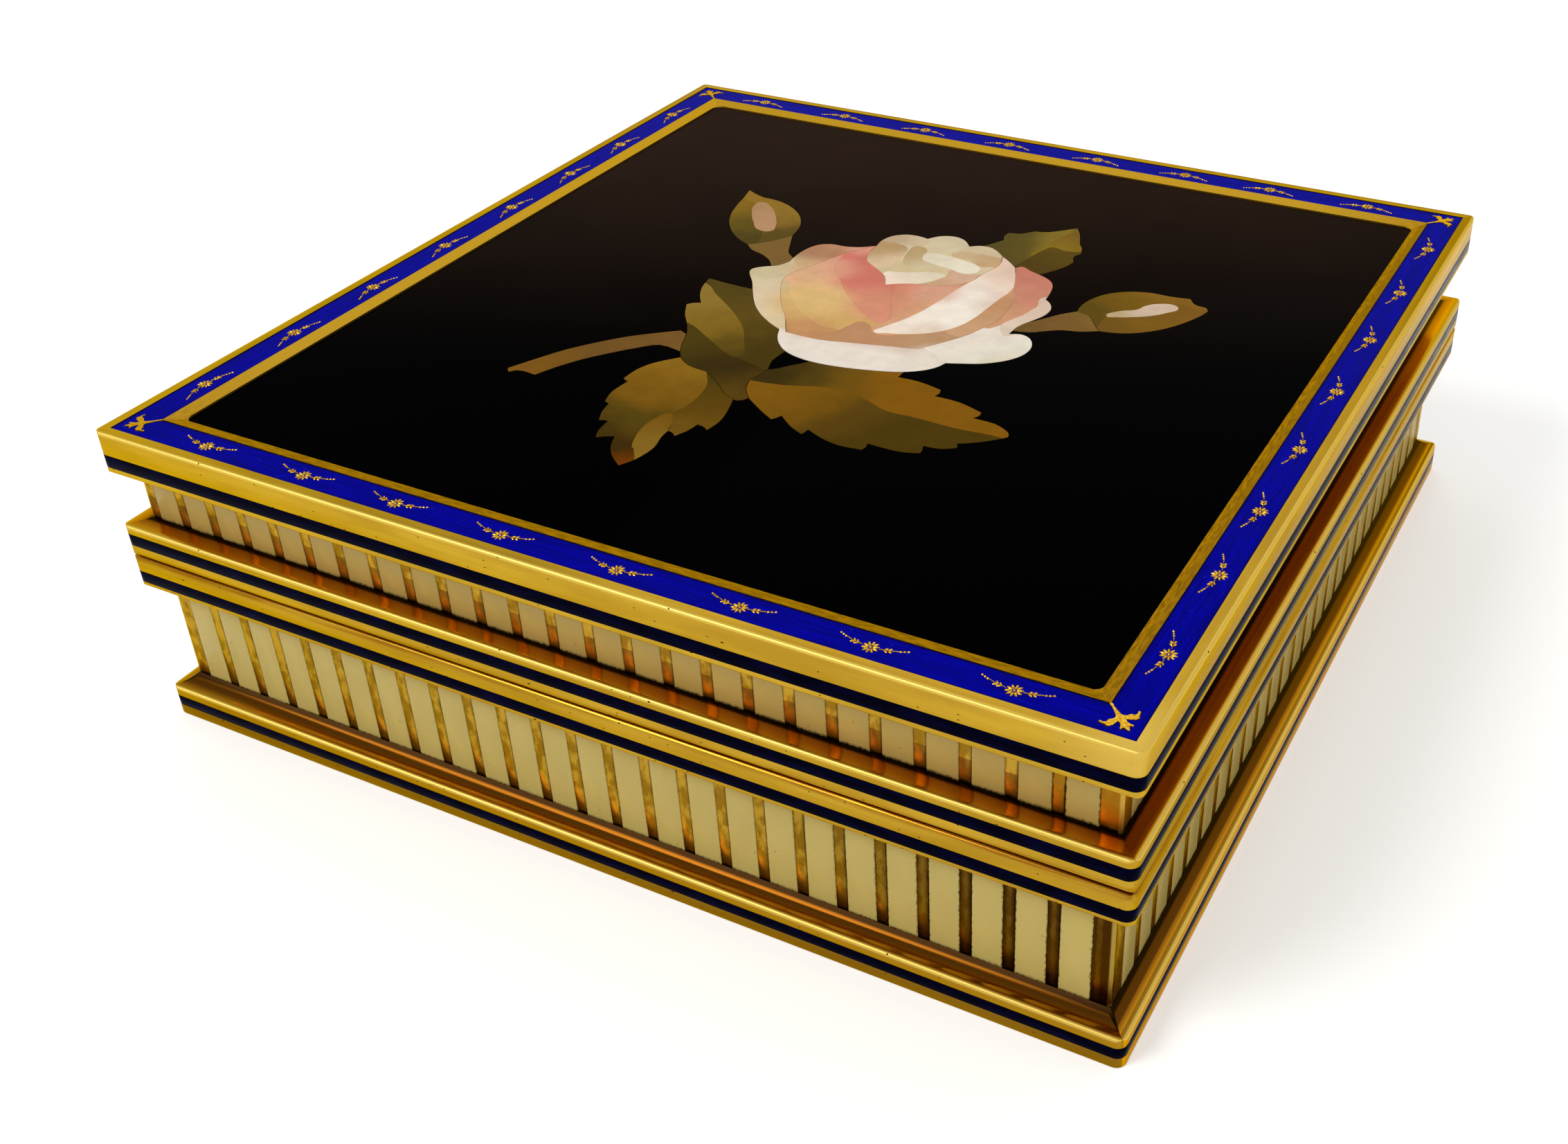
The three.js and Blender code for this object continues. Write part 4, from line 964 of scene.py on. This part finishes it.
class MOSAICBOX_OT_walls(bpy.types.Operator):
    """Dress the side plates, whose bars stand between the enamel stripes"""
    bl_idname = "mosaic_box.walls"
    bl_label = "Walls and bars"

    def execute(self, context):
        for side in SIDES:
            dress(context, f"base_wall_{side}", "base_bars", "base", "gilt")
            dress(context, f"lid_wall_{side}", "lid_bars", "lid", "gilt")
        return {"FINISHED"}


class MOSAICBOX_OT_stripes(bpy.types.Operator):
    """Dress the cream enamel stripes"""
    bl_idname = "mosaic_box.stripes"
    bl_label = "Cream stripes"

    def execute(self, context):
        for side in SIDES:
            dress(context, f"base_stripes_{side}", "base_cream", "base", "cream_enamel")
            dress(context, f"lid_stripes_{side}", "lid_cream", "lid", "cream_enamel")
        return {"FINISHED"}


class MOSAICBOX_OT_lines(bpy.types.Operator):
    """Dress the four dark enamel lines that run round the box"""
    bl_idname = "mosaic_box.lines"
    bl_label = "Navy lines"

    def execute(self, context):
        for node, body in (("foot_enamel_line", "base"), ("rim_enamel_line", "base"),
                           ("lid_flange_enamel_line", "lid"), ("lid_top_enamel_line", "lid")):
            dress(context, node, "navy", body, "navy_enamel")
        return {"FINISHED"}


class MOSAICBOX_OT_inside(bpy.types.Operator):
    """Dress the bottom plate, the lip, the plate inside the lid, the slate and the hinge"""
    bl_idname = "mosaic_box.inside"
    bl_label = "Inside and hinge"

    def execute(self, context):
        lips = ["locating_lip_" + side for side in SIDES]
        for node in ("bottom_plate", "base_hinge_leaf", "hinge_pin", *lips):
            dress(context, node, "inside", "base", "gilt")
        for node in ("lid_liner", "lid_hinge_leaf"):
            dress(context, node, "inside", "lid", "gilt")
        dress(context, "slate_backing", "slate", "lid", "slate")
        return {"FINISHED"}


class MOSAICBOX_OT_panel(bpy.types.Operator):
    """Dress the black stone ground and the blue enamel border of the lid"""
    bl_idname = "mosaic_box.panel"
    bl_label = "Panel and border"

    def execute(self, context):
        dress(context, "black_stone_ground", "black", "lid", "black_stone", rounding=False)
        border = merged_copy("border_enamel", "border_enamel_dressed")
        bpy.ops.object.mode_set(mode="EDIT")
        bpy.ops.mesh.select_all(action="DESELECT")
        bpy.ops.object.mode_set(mode="OBJECT")
        for face in border.data.polygons:
            face.select = face.normal.z > 0.9
        bpy.ops.object.mode_set(mode="EDIT")
        bpy.ops.transform.translate(value=(0, 0, -context.scene.mosaic_box_sizes.enamel_drop))
        bpy.ops.object.mode_set(mode="OBJECT")
        soften(border, 0.05 * MM)
        hand_over(border, finish_of(context, "cobalt"), "lid", "cobalt_enamel", "border_enamel")
        return {"FINISHED"}


class MOSAICBOX_OT_bezel_corners(bpy.types.Operator):
    """Model the solder that rounds the four inner corners of the bezel"""
    bl_idname = "mosaic_box.bezel_corners"
    bl_label = "Bezel corners"

    def execute(self, context):
        corner, round_off, lap = PLAN / 2 - BEZEL_INNER, 1.4, 0.4
        arc = [corner - round_off * (1 - math.cos(math.radians(a))) for a in (0, 22.5, 45, 67.5, 90)]
        outline = [(corner + lap, corner + lap), (corner - round_off, corner + lap)]
        outline += list(zip(reversed(arc), arc)) + [(corner + lap, corner - round_off)]
        for turn, name in enumerate(("back_right", "back_left", "front_left", "front_right")):
            web = outline_solid("bezel_corner_" + name, outline, STONE_TOP - 0.05, STONE_TOP + 0.3, "VECTOR")
            web.data.transform(Matrix.Rotation(math.pi / 2 * turn, 4, "Z"))
            soften(web, 0.1 * MM)
            hand_over(web, finish_of(context, "moulding"), "lid", "bright_gilt")
        return {"FINISHED"}


class MOSAICBOX_OT_spray(bpy.types.Operator):
    """Cut the rose, its buds, leaves and stem into single stones"""
    bl_idname = "mosaic_box.spray"
    bl_label = "Stone rose spray"

    def execute(self, context):
        for node in STONES:
            cut_stones(context, node)
        outline = [on_panel(x, y) for x, y in MASTIC_OUTLINE]
        bed = outline_solid("rose_mastic", outline, STONE_LOW, STONE_TOP - 0.05)
        hand_over(bed, finish_of(context, "mastic"), "lid", "pink_stone")
        return {"FINISHED"}


class MOSAICBOX_OT_garlands(bpy.types.Operator):
    """Model one foil garland and one corner sprig, and set copies of them round the border"""
    bl_idname = "mosaic_box.garlands"
    bl_label = "Foil garlands"

    def execute(self, context):
        sizes = context.scene.mosaic_box_sizes
        enamel = TOP - sizes.enamel_drop / MM
        shapes = garland_shapes(sizes.garland_span / MM)
        gold = foil_mesh("garland", shapes, enamel - 0.02, 0.13, 0.0)
        outline = foil_mesh("garland_outline", shapes, enamel - 0.03, 0.04, 0.07)
        kinds = (("gold", gold, "foil", "bright_gilt"), ("outline", outline, "outline", "navy_enamel"))
        middle = (PLAN - BORDER_OUTER - BORDER_INNER) / 2
        for kind, model, key, slot in kinds:
            for turn, side in enumerate(SIDES):
                copies = []
                for place in GARLAND_PLACES:
                    copy = model.copy()
                    copy.data = model.data.copy()
                    context.collection.objects.link(copy)
                    along = (place / 100 - 0.5) * PLAN
                    copy.data.transform(Matrix.Rotation(math.pi / 2 * turn, 4, "Z")
                                        @ Matrix.Translation((along * MM, -middle * MM, 0)))
                    copies.append(copy)
                only(*copies)
                bpy.ops.object.join()
                joined = context.object
                joined.name = joined.data.name = f"garlands_{side}_{kind}"
                hand_over(joined, finish_of(context, key), "lid", slot)
            only(model)
            bpy.ops.object.delete()
        corner = PLAN / 2 - BORDER_INNER
        sprigs = (("gold", 1.0, -0.02, 0.11, "foil", "bright_gilt"),
                  ("outline", 1.07, -0.03, 0.01, "outline", "navy_enamel"))
        for turn, name in enumerate(("front_right", "back_right", "back_left", "front_left")):
            for kind, grow, low, high, key, slot in sprigs:
                outline = [(x * grow, SPRIG_MIDDLE + (y - SPRIG_MIDDLE) * grow) for x, y in SPRIG_OUTLINE]
                sprig = outline_solid(f"corner_sprig_{name}_{kind}", outline, enamel + low, enamel + high)
                sprig.data.transform(Matrix.Rotation(math.pi / 2 * turn, 4, "Z")
                                     @ Matrix.Translation((corner * MM, -corner * MM, 0))
                                     @ Matrix.Rotation(math.radians(-135), 4, "Z"))
                soften(sprig, 0.09 * MM)
                hand_over(sprig, finish_of(context, key), "lid", slot)
        return {"FINISHED"}


class MOSAICBOX_OT_stage(bpy.types.Operator):
    """Set the pale floor, the studio light and the camera"""
    bl_idname = "mosaic_box.stage"
    bl_label = "Stage"

    def execute(self, context):
        self.floor()
        self.lights(context)
        self.camera(context)
        context.scene.view_settings.view_transform = "Standard"
        return {"FINISHED"}

    def floor(self):
        bpy.ops.object.select_all(action="DESELECT")
        bpy.ops.mesh.primitive_plane_add(size=8.0, location=(0, 0, -0.0001))
        floor = bpy.context.object
        floor.name = "studio_floor"
        material = bpy.data.materials.new("white_paper_sweep")
        material.use_nodes = True
        tree = material.node_tree
        shader = tree.nodes["Principled BSDF"]
        shader.inputs["Base Color"].default_value = tone("#f0f0ee")
        shader.inputs["Roughness"].default_value = 0.9
        shader.inputs["Specular IOR Level"].default_value = 0.0
        tree.links.new((seen_ray(tree) * 0.3).socket, shader.inputs["Emission Strength"])
        shader.inputs["Emission Color"].default_value = (1, 1, 1, 1)
        floor.data.materials.append(material)

    def lights(self, context):
        world = bpy.data.worlds.new("studio")
        context.scene.world = world
        world.use_nodes = True
        tree = world.node_tree
        tree.nodes.clear()
        direction = add(tree, "TexCoord").outputs["Generated"]
        ceiling = Number(tree, add(tree, "SeparateXYZ", {0: direction}).outputs[2]).step(0.3, 0.75)
        seen = add(tree, "Background", {0: blend(tree, ceiling, "#ffffff", "#c8c8c8"), 1: 1.0})
        soft = add(tree, "Background", {0: (1, 1, 1, 1), 1: 0.5})
        mixed = add(tree, "MixShader", {0: seen_ray(tree), 1: soft.outputs[0], 2: seen.outputs[0]})
        output = add(tree, "OutputWorld")
        tree.links.new(mixed.outputs[0], output.inputs[0])
        for name, turn, lift, strength, spread in (("key", -38, 42, 1.5, 30), ("fill", 55, 30, 0.55, 60),
                                                   ("back", 190, 55, 0.5, 60)):
            bpy.ops.object.light_add(type="SUN", location=(0, 0, 1))
            lamp = bpy.context.object
            lamp.name = name + "_light"
            lamp.data.energy = strength
            lamp.data.angle = math.radians(spread)
            turn, lift = math.radians(turn), math.radians(lift)
            way = Vector((math.sin(turn) * math.cos(lift), -math.cos(turn) * math.cos(lift), math.sin(lift)))
            lamp.rotation_mode = "QUATERNION"
            lamp.rotation_quaternion = way.to_track_quat("Z", "Y")

    def camera(self, context):
        bpy.ops.object.camera_add(location=(0.12640, -0.22042, 0.17728),
                                  rotation=[math.radians(a) for a in (56.566, 0.635, 26.847)])
        camera = bpy.context.object
        camera.name = "photo_camera"
        camera.data.sensor_width = 36.0
        camera.data.lens = 40.69
        camera.data.shift_x, camera.data.shift_y = -0.0924, -0.0272
        camera.data.clip_start, camera.data.clip_end = 0.01, 50.0
        context.scene.camera = camera


def seen_ray(tree):
    """One for rays that the eye, polished metal or glass sends out, nought for those that carry light."""
    path = add(tree, "LightPath").outputs
    eye, metal, glass = (
        Number(tree, path[f"Is {kind} Ray"]) for kind in ("Camera", "Glossy", "Transmission"))
    return eye.largest(metal.largest(glass))


OPERATORS = (
    MOSAICBOX_OT_mouldings, MOSAICBOX_OT_walls, MOSAICBOX_OT_stripes, MOSAICBOX_OT_lines,
    MOSAICBOX_OT_inside, MOSAICBOX_OT_panel, MOSAICBOX_OT_bezel_corners, MOSAICBOX_OT_spray,
    MOSAICBOX_OT_garlands, MOSAICBOX_OT_stage,
)


class MOSAICBOX_PT_panel(bpy.types.Panel):
    bl_idname = "MOSAICBOX_PT_panel"
    bl_label = "Mosaic box"
    bl_space_type = "VIEW_3D"
    bl_region_type = "UI"
    bl_category = "Mosaic Box"

    def draw(self, context):
        for group in (context.scene.mosaic_box_colours, context.scene.mosaic_box_sizes):
            for key in group.__annotations__:
                self.layout.prop(group, key)
        for operator in OPERATORS:
            self.layout.operator(operator.bl_idname)


CLASSES = (MosaicBoxColours, MosaicBoxSizes, *OPERATORS, MOSAICBOX_PT_panel)


def register():
    for cls in CLASSES:
        bpy.utils.register_class(cls)
    bpy.types.Scene.mosaic_box_colours = bpy.props.PointerProperty(type=MosaicBoxColours)
    bpy.types.Scene.mosaic_box_sizes = bpy.props.PointerProperty(type=MosaicBoxSizes)


def unregister():
    del bpy.types.Scene.mosaic_box_sizes
    del bpy.types.Scene.mosaic_box_colours
    for cls in reversed(CLASSES):
        bpy.utils.unregister_class(cls)


def main():
    register()
    bpy.ops.mosaic_box.mouldings()
    bpy.ops.mosaic_box.walls()
    bpy.ops.mosaic_box.stripes()
    bpy.ops.mosaic_box.lines()
    bpy.ops.mosaic_box.inside()
    bpy.ops.mosaic_box.panel()
    bpy.ops.mosaic_box.bezel_corners()
    bpy.ops.mosaic_box.spray()
    bpy.ops.mosaic_box.garlands()
    bpy.ops.mosaic_box.stage()


if __name__ == "__main__":
    main()
